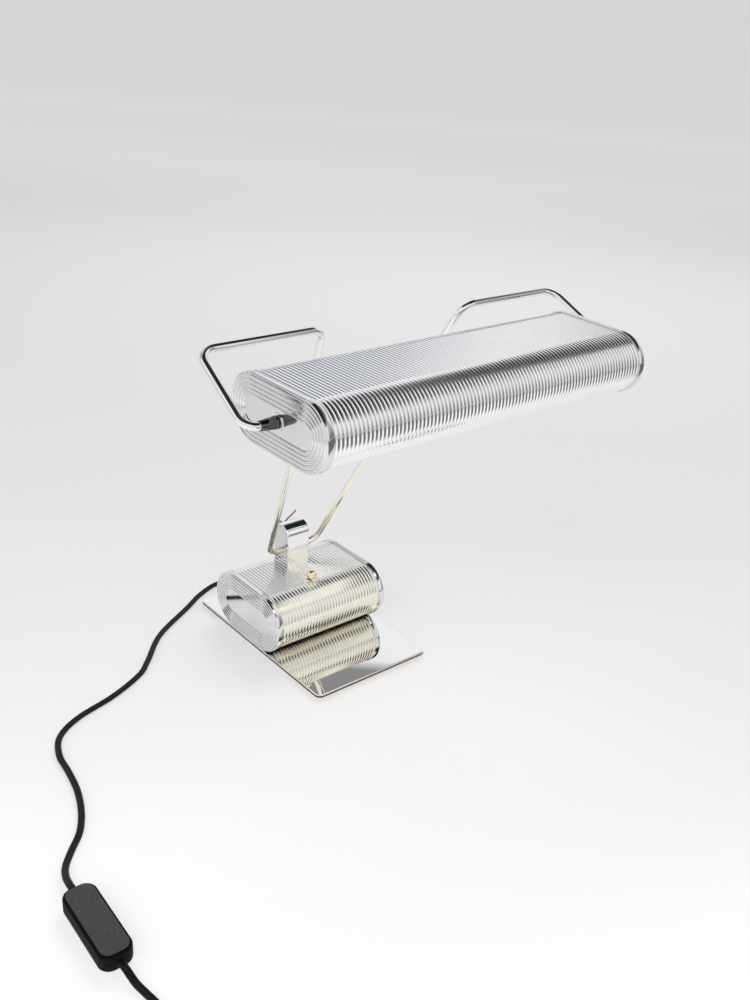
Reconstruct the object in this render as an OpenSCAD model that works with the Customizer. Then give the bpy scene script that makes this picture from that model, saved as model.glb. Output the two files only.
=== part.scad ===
// Cantilever table lamp: a ribbed shade hung at both ends of a bent tube frame,
// which leans out of a clamp strap on a ribbed base casing that stands on a plate.
// Millimetres, +Z up, shade towards -Y. The origin lies on the table, under the
// plate, on the middle plane of the casings.

/* [Plate] */
// Width of the plate, left to right
plate_w = 134; // [126:1:170]
// Depth of the plate, front to back
plate_d = 207; // [190:1:240]
// Distance of the plate's middle behind the origin
plate_back = 4; // [0:0.5:10]
// Thickness of the plate
plate_t = 3; // [2:0.5:6]
// Radius of the plate's corners
plate_r = 6; // [2:1:12]
// Thickness of the felt under the plate
foot_h = 2; // [1:0.5:5]
// Distance of the felt's edge from the plate's edge
foot_inset = 4; // [2:0.5:10]

/* [Base casing] */
// Length of the base casing over its end caps
base_len = 132; // [110:1:134]
// Depth of the base casing over its end caps
base_d = 110; // [100:1:124]
// Height of the base casing over its end caps
base_h = 59; // [56:1:70]
// Distance of the casing's middle behind the origin
base_back = 22; // [10:1:30]
// Number of ribs round the base casing
base_ribs = 36; // [20:1:38]

/* [Shade] */
// Length of the shade over its end caps
shade_len = 338; // [326:1:400]
// Depth of the shade over its end caps
shade_d = 116; // [104:1:124]
// Height of the shade over its end caps
shade_h = 54; // [52:1:62]
// Number of ribs round the shade
shade_ribs = 92; // [60:1:94]

/* [Ribbed sheet] */
// Height of a rib over the valley beside it
rib_h = 0.9; // [0.4:0.1:1.4]
// Thickness of the sheet under the valleys
sheet_t = 1; // [0.6:0.1:1.6]

/* [End caps] */
// Width of the polished band round a casing's end
skirt_w = 6.5; // [4:0.5:9]
// Wall of an end cap
cap_wall = 1; // [0.8:0.1:1.6]
// Number of ridges round an end cap's field
ridges = 5; // [3:1:5]
// Distance from one ridge to the next
ridge_pitch = 3.4; // [2.6:0.1:3.6]
// Width of a ridge
ridge_w = 1.7; // [1:0.1:2.2]
// Height of a ridge over the cap's face
ridge_h = 1; // [0.5:0.1:1.5]

/* [Tube frame] */
// Outside diameter of the frame's tube
tube_dia = 6.4; // [5:0.1:7]
// Wall of the frame's tube
tube_wall = 1; // [0.6:0.1:1.4]
// Length of the leaning frame from its lowest to its highest tube
frame_rise = 307; // [260:1:340]
// Reach from the frame's highest tube to the shade's pivots
frame_reach = 79; // [76:1:100]
// Lean of the frame towards the front, in degrees
frame_lean = 26; // [15:1:35]
// Half distance between the bends beside the strap
low_x = 28.7; // [27:0.1:36]
// Half distance between the bends at the inner ends of the top tubes
inner_x = 75.8; // [60:0.1:100]
// Distance from an end cap's face to the outer leg's upper bend
outer_gap = 20.5; // [18:0.1:26]
// Distance from an end cap's face to the outer leg's lower bend
pivot_gap = 26.5; // [26.5:0.1:32]
// Radius of the frame's bends along the tube's middle
bend_r = 15; // [9:0.5:16]
// Radius of the bends beside the shade's pivots
pivot_bend_r = 10.5; // [7:0.5:10.5]

/* [Strap] */
// Width of the strap
strap_w = 26; // [20:1:27]
// Thickness of the strap
strap_t = 2; // [1.5:0.1:3]
// Radius of the strap's round top, outside
strap_r = 12; // [10.5:0.5:13]
// Height of the round top's middle over the base casing
strap_rise = 33.8; // [33.5:0.1:40]
// Distance of the strap's front leg behind the casing's middle
strap_back = 6.4; // [4:0.1:12]
// Height of the frame's lowest tube over the base casing
hinge_rise = 16.7; // [15:0.1:18]

/* [Clamp lever] */
// Height of the clamp screw over the base casing
clamp_rise = 34.8; // [32:0.1:34.8]
// Diameter of the clamp screw
clamp_dia = 4; // [3:0.5:5]
// Length of the lever from the screw's middle
lever_len = 19.5; // [14:0.5:22]
// Diameter of the lever
lever_dia = 1.8; // [1.5:0.1:2.5]
// Angle of the lever over the level, in degrees
lever_angle = 34; // [0:1:60]

/* [Switch] */
// Distance of the switch left of the middle
switch_left = 7; // [0:1:20]
// Distance of the switch in front of the casing's middle
switch_front = 23.5; // [20:0.5:24]
// Diameter of the ball on the switch's lever
ball_dia = 10.4; // [8:0.2:12]
// Height of the ball's middle over the casing, lever upright
ball_rise = 7.6; // [7.4:0.1:12]
// Tilt of the lever at rest, in degrees
switch_tilt = 17; // [10:1:20]

/* [Lamp] */
// Diameter of the tube lamp's glass
lamp_dia = 26; // [20:1:28]
// Distance from an end cap's face to the lampholder's face inside it
holder_back = 27; // [24:0.5:40]
// Depth of the lamp's middle under the shade's pivots
lamp_drop = 7; // [5:0.5:7]

/* [Cord] */
// Width of the flat cord
cord_w = 5.6; // [4.6:0.1:6]
// Thickness of the flat cord
cord_t = 3.2; // [2.4:0.1:3.6]
// Length of the box on the cord
box_len = 72; // [60:1:84]
// Width of the box on the cord
box_w = 25; // [22:1:32]
// Height of the box on the cord
box_h = 14; // [13:0.5:18]
// Number of turns in the coil, half of them in each layer
coil_turns = 5; // [3:1:8]
// Radius of the coil's innermost turn
coil_r = 24; // [20:1:40]

/* [Hidden] */

$fn = 64;

// Fits: overrun of cuts, push fit, running fit, play beside a turning piece, seat of loose pieces
over = 1;
push_fit = 0.05;
run_fit = 0.05;
side_play = 0.2;
seat_gap = 0.3;

// Heights
plate_top = foot_h + plate_t;
casing_z = plate_top + base_h / 2;
casing_top = plate_top + base_h - cap_wall - push_fit;

// Casings: crest size under the caps' bands, and the plain inside
crest_loss = 2 * (cap_wall + push_fit);
inner_loss = crest_loss + 2 * (rib_h + sheet_t);
base_in_h = base_h - inner_loss;
base_in_d = base_d - inner_loss;
shade_in_h = shade_h - inner_loss;
shade_in_d = shade_d - inner_loss;

// Plate screws
plate_screw_dia = 4;
plate_screw_head = 7.6;
plate_screw_sink = 1.8;
plate_screw_len = 16;
plate_screw_x = 44;
plate_screw_y = 20;

// Weight in the base casing
weight_len = base_len - 2 * skirt_w;
weight_room = 20;
weight_h = base_in_h - weight_room;
weight_bottom = casing_z - base_in_h / 2;
weight_top = weight_bottom + weight_h;

// Strap
strap_front = base_back + strap_back;
strap_mid = strap_front + strap_r;
strap_in = strap_r - strap_t;
strap_foot = 11;
strap_round_z = casing_top + strap_rise;
strap_screw_dia = 4;
strap_screw_head = 7;
strap_screw_head_h = 2;
strap_screw_len = 12;
slot_fit = 0.2;

// Hinge of the frame
hinge_y = strap_mid;
hinge_z = casing_top + hinge_rise;
block_below = 2.5;
block_r = strap_in - seat_gap;

// Clamp
clamp_z = casing_top + clamp_rise;
clamp_nut_af = 7;
clamp_nut_gap = 1.5;
clamp_nut_h = 4;
clamp_washer_dia = 10;
clamp_washer_t = 1;
clamp_head_dia = 8;
clamp_head_h = 8;
clamp_back = strap_mid + strap_r;
head_y = clamp_back + clamp_washer_t + side_play;
lever_end_dia = 2.2;

// Switch
switch_x = -switch_left;
switch_y = base_back - switch_front;
switch_bush_dia = 6;
switch_bush_in = 4.6;
switch_nut_af = 9;
switch_nut_h = 1.2;
switch_case_x = 8;
switch_case_y = 13;
switch_case_h = 11;
switch_case_gap = 0.6;
switch_case_top = casing_top - rib_h - sheet_t - switch_case_gap;
switch_pivot_deep = 1;
switch_pin_dia = 1.6;
switch_pin_len = 5.6;
switch_pivot_z = casing_top - switch_pivot_deep;
stem_dia = 2.2;
stem_foot_dia = 4;
ball_reach = casing_top + ball_rise - switch_pivot_z;

// Terminal block on the weight
terminal_len = 24;
terminal_d = 16;
terminal_h = 10;
terminal_x = -38;
terminal_back = 20;
terminal_y = base_back + terminal_back;
terminal_screw_dia = 3.2;
terminal_screw_deep = 4;
terminal_ways = 3;

// Gland in the casing's back
gland_dia = 11;
gland_neck_dia = 8.4;
gland_flange = 3;
gland_in = 8;
gland_slot = gland_neck_dia + 2 * seat_gap;
gland_y = base_back + base_d / 2 - cap_wall - push_fit;

// Frame
outer_x = shade_len / 2 + outer_gap;
pivot_x = shade_len / 2 + pivot_gap;
up_dir = [0, -sin(frame_lean), cos(frame_lean)];
out_dir = [0, -cos(frame_lean), -sin(frame_lean)];
hinge_at = [0, hinge_y, hinge_z];
top_at = hinge_at + frame_rise * up_dir;
pivot_at = top_at + frame_reach * out_dir;
bar_half = strap_w / 2 + 2 * side_play;
bar_in = 3;
bend_steps = 6;
tube_sides = 12;

// Pivot bushes in the shade's caps
pivot_flange_dia = 14;
pivot_flange_t = 0.8;
pivot_neck_dia = 9;
pivot_dia = 5;
pin_start = shade_len / 2 + pivot_flange_t + side_play;
ferrule_len = 14;
ferrule_small = 7.6;
ferrule_big = 9.8;
socket_len = 7;
ring_dia = 12;
ring_len = 3.6;
pin_reach = pivot_flange_t + side_play + cap_wall + side_play + ring_len + side_play;

// Reflector, holders and lamp
reflector_t = 0.8;
reflector_len = shade_len - 2 * skirt_w;
reflector_low_share = 0.3;
lamp_len = shade_len - 2 * holder_back;
lamp_z = pivot_at[2] - lamp_drop;
lamp_cap_t = 0.6;
lamp_cap_dia = lamp_dia + 2 * lamp_cap_t;
lamp_cap_len = 12;
lamp_cap_end = 1.2;
glass_t = 0.8;
peg_dia = 7;
peg_len = 5;
holder_w = 12;
holder_dia = 20;
holder_neck = 14;
holder_foot_w = 34;
holder_foot_t = 3;
holder_screw_dia = 3;
holder_screw_head = 5.6;
holder_screw_head_h = 1.4;
holder_screw_y = 12;

// Plain box on the cord
box_wall = 1.6;
box_r = 9;
box_split_share = 0.5;
box_rim = 1.8;
box_panel_h = 1.2;
box_screw_dia = 2.2;
box_screw_head = 4;
box_screw_head_h = 1.1;
box_post_dia = 5.4;
box_screw_in = 11;
box_screw_side = 5;
core_ends = 36;
core_len = box_len - core_ends;
core_w = 13;
core_h = 6.5;

// Plug
plug_len = 36;
plug_w = 35;
plug_neck_w = 14;
plug_h = 13.6;
plug_shoulder_share = 0.45;
plug_step = 4;
pin_dia = 4;
pin_len = 19;
pin_gap = 18.6;
pin_in = 8;

// Route of the cord: from the gland to the box, and from the box to the coil
cord_z = cord_t / 2;
gland_out = gland_y + gland_flange;
run_far_points = [[-1, 98, 31], [-4, 114, 16], [-14, 127, 4.6], [-34, 131, 1.6], [-60, 121, 1.6],
    [-84, 106, 1.6], [-132, 77, 1.6], [-164, 44, 1.6], [-182, 28, 1.6], [-217, 12, 1.6], [-256, 1, 1.6],
    [-280, -14, 1.6], [-291, -36, 1.6], [-294, -60, 1.6], [-298, -84, 1.6], [-306, -108, 1.6],
    [-317, -128, 1.6], [-331, -143, 1.8], [-341, -155, 2.6], [-346, -166, 4.4], [-348, -177, 6.6]];
box_from = [-348, -186, 7];
box_turn = -92;
lead_far_points = [[-350, -267, 5.6], [-349, -276, 2.6], [-347, -287, 1.6], [-345, -300, 1.6],
    [-342, -324, 1.6], [-339, -348, 1.6], [-336, -373, 1.6]];
coil_at = [-296, -396];

// Axis of the coil's sections
function unit(v) = v / norm(v);
function flat_dir(a) = [cos(a), sin(a), 0];

// Plain shapes shared by several sub-parts

module stadium(d, h) {
    square([d - h, h], center = true);
    for (s = [-1, 1]) translate([s * (d - h) / 2, 0]) circle(d = h);
}

module along_x(len) {
    rotate([90, 0, 90]) linear_extrude(len, center = true) children();
}

module rod_x(len, dia) {
    rotate([0, 90, 0]) cylinder(h = len, d = dia, center = true);
}

module rod_y(len, dia) {
    rotate([-90, 0, 0]) cylinder(h = len, d = dia);
}

module rounded(w, d, r) {
    square([w - 2 * r, d], center = true);
    square([w, d - 2 * r], center = true);
    for (x = [-1, 1], y = [-1, 1]) translate([x * (w / 2 - r), y * (d / 2 - r)]) circle(r);
}

// Ribbed casing: one wave along X, drawn over the flats and turned round the ends
function wave(count, pitch, low, high) = concat(
    [for (i = [0:count - 1]) each [[(i - count / 2) * pitch, low], [(i + 0.5 - count / 2) * pitch, high]]],
    [[count * pitch / 2, low]]);

module ribbed(count, len, d, h, open_below) {
    pitch = len / count;
    low = h / 2 - rib_h;
    crest = wave(count, pitch, low, h / 2);
    below = open_below ? [[len / 2, 0], [-len / 2, 0]]
        : [for (i = [1:len(crest)]) let (p = crest[len(crest) - i]) [p[0], -p[1]]];
    rotate([90, 0, 0]) linear_extrude(d - h, center = true) polygon(concat(crest, below));
    for (s = [-1, 1]) translate([0, s * (d - h) / 2, 0])
        rotate([90, 0, 90]) rotate([0, 0, -90 * s]) rotate_extrude(angle = 180)
            polygon(concat([[0, -len / 2]], [for (p = crest) [p[1], p[0]]], [[0, len / 2]]));
}

module casing(count, len, d, h, open_below) {
    difference() {
        ribbed(count, len - 2 * cap_wall, d - crest_loss, h - crest_loss, open_below);
        along_x(len + over) stadium(d - inner_loss, h - inner_loss);
    }
}

// End cap facing -X, its outer face at x = 0: a cup with ridges round a plain field
module end_cap(d, h) {
    difference() {
        translate([skirt_w / 2, 0, 0]) along_x(skirt_w) stadium(d, h);
        translate([cap_wall + skirt_w / 2, 0, 0]) along_x(skirt_w)
            stadium(d - 2 * cap_wall, h - 2 * cap_wall);
    }
    for (i = [0:ridges - 1]) {
        inset = ridge_pitch * (i + 0.5);
        translate([-ridge_h / 2, 0, 0]) along_x(ridge_h) difference() {
            stadium(d - 2 * inset, h - 2 * inset);
            stadium(d - 2 * (inset + ridge_w), h - 2 * (inset + ridge_w));
        }
    }
}

// Countersunk screw with its head's face down at z = 0
module sunk_screw(dia, head, sink, len) {
    cylinder(h = sink, d1 = head, d2 = dia);
    cylinder(h = len, d = dia);
}

module sunk_hole(dia, head, sink, len) {
    cylinder(h = sink, d1 = head + 2 * push_fit, d2 = dia + 2 * push_fit);
    translate([0, 0, -over]) cylinder(h = len + over, d = dia + 2 * push_fit);
    translate([0, 0, -over]) cylinder(h = over, d = head + 2 * push_fit);
}

// Stations of a bent tube: points and directions through corner points with round bends
function turn(u, v) = acos(u * v);
function bend(p, u, v, r) =
    let (full = turn(u, v), n = unit(v - (u * v) * u), middle = p - r * tan(full / 2) * u + r * n)
    [for (k = [0:bend_steps]) let (a = full * k / bend_steps)
        [middle + r * (sin(a) * u - cos(a) * n), cos(a) * u + sin(a) * n]];
function stations(pts, radii) =
    let (dirs = [for (i = [0:len(pts) - 2]) unit(pts[i + 1] - pts[i])])
    concat([[pts[0], dirs[0]]],
        [for (i = [1:len(pts) - 2]) each bend(pts[i], dirs[i - 1], dirs[i], radii[i - 1])],
        [[pts[len(pts) - 1], dirs[len(dirs) - 1]]]);
function carried(st, side, i = 0) = i >= len(st) ? []
    : let (s = unit(side - (side * st[i][1]) * st[i][1])) concat([s], carried(st, s, i + 1));
function tube_rings(st, r) =
    let (side = carried(st, [0, 0, 1]))
    [for (i = [0:len(st) - 1]) let (n = cross(side[i], st[i][1]))
        [for (k = [0:tube_sides - 1]) let (a = 360 * k / tube_sides)
            st[i][0] + r * (cos(a) * side[i] + sin(a) * n)]];

// Triangles between rings that follow each other, and between two rings at one end
function wall_faces(rings, first, out) =
    let (sides = len(rings[0]))
    [for (i = [0:len(rings) - 2], k = [0:sides - 1])
        let (a = first + i * sides + k, b = first + i * sides + (k + 1) % sides)
        each out ? [[a, b, b + sides], [a, b + sides, a + sides]]
            : [[a, b + sides, b], [a, a + sides, b + sides]]];
function end_faces(outer, inner, sides, front) =
    [for (k = [0:sides - 1])
        let (m = (k + 1) % sides, a = outer + k, b = outer + m, c = inner + m, d = inner + k)
        each front ? [[a, c, b], [a, d, c]] : [[a, b, c], [a, c, d]]];

module hollow_tube(st, r, wall) {
    outer = tube_rings(st, r);
    inner = tube_rings(st, r - wall);
    count = len(outer) * tube_sides;
    last = count - tube_sides;
    polyhedron(points = concat([for (ring = outer) each ring], [for (ring = inner) each ring]),
        faces = concat(wall_faces(outer, 0, true), wall_faces(inner, count, false),
            end_faces(0, count, tube_sides, true), end_faces(last, count + last, tube_sides, false)));
}

// Base

module foot_felt() {
    color("dimgray") translate([0, plate_back, 0]) linear_extrude(foot_h)
        rounded(plate_w - 2 * foot_inset, plate_d - 2 * foot_inset, plate_r);
}

module at_plate_screws() {
    for (x = [-1, 1], y = [-1, 1])
        translate([x * plate_screw_x, base_back + y * plate_screw_y, foot_h]) children();
}

module base_plate() {
    color("silver") difference() {
        translate([0, plate_back, foot_h]) linear_extrude(plate_t) rounded(plate_w, plate_d, plate_r);
        at_plate_screws() sunk_hole(plate_screw_dia, plate_screw_head, plate_screw_sink, plate_screw_len);
    }
}

module plate_screws() {
    color("silver") at_plate_screws()
        sunk_screw(plate_screw_dia, plate_screw_head, plate_screw_sink, plate_screw_len);
}

module base_shell() {
    color("gainsboro") difference() {
        translate([0, base_back, casing_z]) casing(base_ribs, base_len, base_d, base_h, false);
        at_plate_screws() sunk_hole(plate_screw_dia, plate_screw_head, plate_screw_sink, plate_screw_len);
        for (y = [strap_front, strap_front + 2 * strap_r - strap_t])
            translate([-strap_w / 2 - slot_fit, y - slot_fit, casing_z])
                cube([strap_w + 2 * slot_fit, strap_t + 2 * slot_fit, base_h]);
        translate([switch_x, switch_y, casing_z]) cylinder(h = base_h, d = switch_bush_dia + 2 * push_fit);
        translate([0, base_back + base_in_d / 4, casing_z]) rod_y(base_d, gland_neck_dia + 2 * push_fit);
    }
}

module base_cap_left() {
    color("silver") translate([-base_len / 2, base_back, casing_z]) end_cap(base_d, base_h);
}

module base_cap_right() {
    color("silver") translate([base_len / 2, base_back, casing_z]) mirror([1, 0, 0]) end_cap(base_d, base_h);
}

module base_weight() {
    color("slategray") difference() {
        translate([0, base_back, casing_z]) along_x(weight_len) intersection() {
            translate([0, -seat_gap]) stadium(base_in_d - 2 * seat_gap, base_in_h - 2 * seat_gap);
            translate([-base_d / 2, -base_in_h / 2]) square([base_d, weight_h]);
        }
        at_plate_screws() translate([0, 0, -over])
            cylinder(h = plate_screw_len + over, d = plate_screw_dia + 2 * push_fit);
        at_strap_screws() translate([0, 0, -strap_screw_len])
            cylinder(h = strap_screw_len, d = strap_screw_dia + 2 * push_fit);
        translate([0, gland_y - gland_in - seat_gap, casing_z]) {
            rod_y(base_d, gland_slot);
            translate([-gland_slot / 2, 0, 0]) cube([gland_slot, base_d, base_h]);
        }
    }
}

// Strap, hinge and clamp

module at_strap_screws() {
    for (s = [-1, 1])
        translate([0, strap_mid + s * (strap_r + (strap_foot - strap_t) / 2), weight_top + strap_t])
            children();
}

module strap() {
    color("silver") difference() {
        translate([0, strap_mid, 0]) along_x(strap_w) {
            for (s = [-1, 1]) {
                translate([s * (strap_r - strap_t / 2) - strap_t / 2, weight_top])
                    square([strap_t, strap_round_z - weight_top]);
                translate([s * (strap_r + (strap_foot - strap_t) / 2) - strap_foot / 2, weight_top])
                    square([strap_foot, strap_t]);
            }
            translate([0, strap_round_z]) difference() {
                circle(strap_r);
                circle(strap_in);
                translate([-strap_r - over, -strap_r - over]) square([2 * (strap_r + over), strap_r + over]);
            }
        }
        at_strap_screws() translate([0, 0, -strap_t - over])
            cylinder(h = strap_t + 2 * over, d = strap_screw_dia + 2 * push_fit);
        translate([0, strap_mid, clamp_z]) rod_y(strap_r + over, clamp_dia + 2 * run_fit);
    }
}

module strap_screws() {
    color("silver") at_strap_screws() {
        cylinder(h = strap_screw_head_h, d = strap_screw_head);
        translate([0, 0, -strap_screw_len]) cylinder(h = strap_screw_len, d = strap_screw_dia);
    }
}

// Block in the strap, with the bar's bore, the screw's bore and the nut's pocket
module hinge_block() {
    low = hinge_z - tube_dia / 2 - block_below;
    color("gainsboro") difference() {
        translate([0, strap_mid, 0]) along_x(strap_w) {
            translate([0, strap_round_z]) circle(block_r);
            translate([-block_r, low]) square([2 * block_r, strap_round_z - low]);
        }
        translate(hinge_at) rod_x(strap_w + 2 * over, tube_dia + 2 * run_fit);
        translate([0, strap_mid - strap_r, clamp_z]) {
            rod_y(2 * strap_r, clamp_dia + 2 * run_fit);
            rotate([-90, 0, 0]) cylinder(h = strap_t + clamp_nut_gap + clamp_nut_h,
                d = (clamp_nut_af + 2 * seat_gap) / cos(30), $fn = 6);
        }
    }
}

module clamp_nut() {
    color("silver") translate([0, strap_mid - strap_in + clamp_nut_gap, clamp_z]) difference() {
        rotate([-90, 0, 0]) cylinder(h = clamp_nut_h, d = clamp_nut_af / cos(30), $fn = 6);
        translate([0, -over, 0]) rod_y(clamp_nut_h + 2 * over, clamp_dia + 2 * run_fit);
    }
}

module clamp_washer() {
    color("silver") translate([0, clamp_back, clamp_z]) difference() {
        rod_y(clamp_washer_t, clamp_washer_dia);
        translate([0, -over, 0]) rod_y(clamp_washer_t + 2 * over, clamp_dia + 2 * run_fit);
    }
}

module clamp_screw() {
    color("silver") difference() {
        union() {
            translate([0, strap_mid - strap_in + clamp_nut_gap - side_play, clamp_z])
                rod_y(head_y - strap_mid + strap_in - clamp_nut_gap + over, clamp_dia);
            translate([0, head_y, clamp_z]) rod_y(clamp_head_h, clamp_head_dia);
        }
        on_lever() cylinder(h = clamp_head_dia, d = lever_dia + 2 * push_fit);
    }
}

module on_lever() {
    translate([0, head_y + clamp_head_h / 2, clamp_z]) rotate([0, 90 - lever_angle, 0]) children();
}

module clamp_lever() {
    color("silver") on_lever() {
        cylinder(h = lever_len, d = lever_dia);
        translate([0, 0, lever_len]) sphere(d = lever_end_dia);
    }
}

// Switch, terminals and gland

module switch_body() {
    color("saddlebrown") difference() {
        union() {
            translate([switch_x - switch_case_x / 2, switch_y - switch_case_y / 2,
                switch_case_top - switch_case_h])
                cube([switch_case_x, switch_case_y, switch_case_h]);
            translate([switch_x, switch_y, switch_case_top - over])
                cylinder(h = casing_top + switch_nut_h - switch_case_top + over, d = switch_bush_dia);
        }
        translate([switch_x, switch_y, switch_pivot_z - stem_foot_dia / 2 - side_play])
            cylinder(h = ball_reach, d = switch_bush_in);
        translate([switch_x, switch_y, switch_pivot_z])
            rod_x(switch_bush_dia + 2 * over, switch_pin_dia + 2 * run_fit);
    }
}

module switch_nut() {
    color("silver") translate([switch_x, switch_y, casing_top]) difference() {
        cylinder(h = switch_nut_h, d = switch_nut_af / cos(30), $fn = 6);
        translate([0, 0, -over]) cylinder(h = switch_nut_h + 2 * over, d = switch_bush_dia + 2 * push_fit);
    }
}

module switch_lever() {
    color("gold") translate([switch_x, switch_y, switch_pivot_z]) rotate([switch_tilt, 0, 0]) {
        sphere(d = stem_foot_dia);
        rod_x(switch_pin_len, switch_pin_dia);
        cylinder(h = ball_reach, d = stem_dia);
        translate([0, 0, ball_reach]) sphere(d = ball_dia);
    }
}

module terminal_block() {
    color("ivory") translate([terminal_x, terminal_y, weight_top]) difference() {
        translate([-terminal_len / 2, -terminal_d / 2, 0]) cube([terminal_len, terminal_d, terminal_h]);
        for (i = [0:terminal_ways - 1])
            translate([(i + 0.5 - terminal_ways / 2) * terminal_len / terminal_ways, 0,
                terminal_h - terminal_screw_deep])
                cylinder(h = terminal_h, d = terminal_screw_dia);
    }
}

module cord_gland() {
    color("black") translate([0, gland_y, casing_z]) {
        rod_y(gland_flange, gland_dia);
        translate([0, -gland_in, 0]) rod_y(gland_in, gland_neck_dia);
    }
}

// Tube frame: a straight bar in the hinge, two bent halves on its ends, a turned pin in each far end

module hinge_bar() {
    color("lightgray") translate(hinge_at) {
        rod_x(2 * bar_half, tube_dia);
        rod_x(2 * (bar_half + bar_in), tube_dia - 2 * (tube_wall + side_play));
    }
}

half_points = [hinge_at - [bar_half, 0, 0], hinge_at - [low_x, 0, 0], top_at - [inner_x, 0, 0],
    top_at - [outer_x, 0, 0], pivot_at - [pivot_x, 0, 0],
    pivot_at - [pin_start + ferrule_len - socket_len, 0, 0]];
half_bends = [bend_r, bend_r, bend_r, pivot_bend_r];

module frame_tube_left() {
    color("lightgray") hollow_tube(stations(half_points, half_bends), tube_dia / 2, tube_wall);
}

module frame_tube_right() {
    mirror([1, 0, 0]) frame_tube_left();
}

module pivot_pins() {
    color("silver") for (s = [-1, 1]) translate(pivot_at + [s * pin_start, 0, 0]) rotate([0, s * 90, 0]) {
        difference() {
            cylinder(h = ferrule_len, d1 = ferrule_big, d2 = ferrule_small);
            translate([0, 0, ferrule_len - socket_len])
                cylinder(h = socket_len + over, d = tube_dia + 2 * push_fit);
        }
        translate([0, 0, -pin_reach]) cylinder(h = pin_reach + ferrule_len - socket_len, d = pivot_dia);
    }
}

module pivot_rings() {
    color("silver") for (s = [-1, 1])
        translate(pivot_at + [s * (shade_len / 2 - cap_wall - side_play - ring_len / 2), 0, 0]) difference() {
            rod_x(ring_len, ring_dia);
            rod_x(ring_len + 2 * over, pivot_dia + 2 * push_fit);
        }
}

// Shade

module shade_shell() {
    color("gainsboro") translate(pivot_at) casing(shade_ribs, shade_len, shade_d, shade_h, true);
}

module shade_cap(s) {
    color("silver") difference() {
        translate(pivot_at + [s * shade_len / 2, 0, 0]) mirror([s > 0 ? 1 : 0, 0, 0])
            end_cap(shade_d, shade_h);
        translate(pivot_at + [s * shade_len / 2, 0, 0]) rod_x(2 * skirt_w, pivot_neck_dia + 2 * push_fit);
    }
}

module shade_cap_left() {
    shade_cap(-1);
}

module shade_cap_right() {
    shade_cap(1);
}

module pivot_bushes() {
    color("silver") for (s = [-1, 1]) translate(pivot_at + [s * shade_len / 2, 0, 0]) difference() {
        union() {
            translate([s * pivot_flange_t / 2, 0, 0]) rod_x(pivot_flange_t, pivot_flange_dia);
            translate([-s * cap_wall / 2, 0, 0]) rod_x(cap_wall, pivot_neck_dia);
        }
        rod_x(2 * skirt_w, pivot_dia + 2 * run_fit);
    }
}

module reflector() {
    reach_d = shade_in_d - 2 * seat_gap;
    reach_h = shade_in_h - 2 * seat_gap;
    low = -shade_in_h * reflector_low_share;
    color("white") translate(pivot_at) difference() {
        along_x(reflector_len) difference() {
            stadium(reach_d, reach_h);
            stadium(reach_d - 2 * reflector_t, reach_h - 2 * reflector_t);
            translate([-shade_d / 2, low - shade_h]) square([shade_d, shade_h]);
        }
        at_holder_screws() cylinder(h = shade_h, d = holder_screw_dia + 2 * push_fit);
    }
}

// Places of the holders' screws, from the shade's pivots, each at its holder's foot
holder_top = shade_in_h / 2 - seat_gap - reflector_t;
holder_x = lamp_len / 2 + holder_w / 2;
module at_holder_screws() {
    for (s = [-1, 1]) at_side_screws(s) children();
}

module at_side_screws(s) {
    for (y = [-1, 1]) translate([s * holder_x, y * holder_screw_y, holder_top - holder_foot_t]) children();
}

module lampholder(s) {
    color("white") translate(pivot_at) difference() {
        translate([s * holder_x, 0, 0]) along_x(holder_w) {
            translate([0, -lamp_drop]) circle(d = holder_dia);
            translate([-holder_neck / 2, -lamp_drop]) square([holder_neck, holder_top + lamp_drop]);
            translate([-holder_foot_w / 2, holder_top - holder_foot_t])
                square([holder_foot_w, holder_foot_t]);
        }
        translate([s * (lamp_len / 2 + peg_len / 2), 0, -lamp_drop])
            rod_x(peg_len + 2 * push_fit, peg_dia + 2 * push_fit);
        at_side_screws(s) translate([0, 0, -over])
            cylinder(h = shade_h, d = holder_screw_dia + 2 * push_fit);
    }
}

module lampholder_left() {
    lampholder(-1);
}

module lampholder_right() {
    lampholder(1);
}

module holder_screws() {
    color("silver") translate(pivot_at) at_holder_screws() {
        translate([0, 0, -holder_screw_head_h]) cylinder(h = holder_screw_head_h, d = holder_screw_head);
        cylinder(h = holder_foot_t + reflector_t, d = holder_screw_dia);
    }
}

module lamp_glass() {
    glass_len = lamp_len - 2 * lamp_cap_end;
    color("whitesmoke") translate([0, pivot_at[1], lamp_z]) difference() {
        rod_x(glass_len, lamp_dia);
        rod_x(glass_len + 2 * over, lamp_dia - 2 * glass_t);
    }
}

module lamp_caps() {
    color("silver") for (s = [-1, 1]) translate([0, pivot_at[1], lamp_z]) {
        difference() {
            translate([s * (lamp_len - lamp_cap_len) / 2, 0, 0]) rod_x(lamp_cap_len, lamp_cap_dia);
            rod_x(lamp_len - 2 * lamp_cap_end, lamp_dia + 2 * push_fit);
        }
        translate([s * (lamp_len + peg_len) / 2, 0, 0]) rod_x(peg_len, peg_dia);
    }
}

// Cord: flat tubes swept along smooth routes, each in a whole number of steps

function smooth(p, i, t) =
    let (a = p[max(i - 1, 0)], b = p[i], c = p[i + 1], d = p[min(i + 2, len(p) - 1)])
    0.5 * (2 * b + (c - a) * t + (2 * a - 5 * b + 4 * c - d) * t * t + (3 * b - a - 3 * c + d) * t * t * t);
function route(p, steps) = concat([for (i = [0:len(p) - 2], k = [0:steps - 1]) smooth(p, i, k / steps)],
    [p[len(p) - 1]]);

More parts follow.
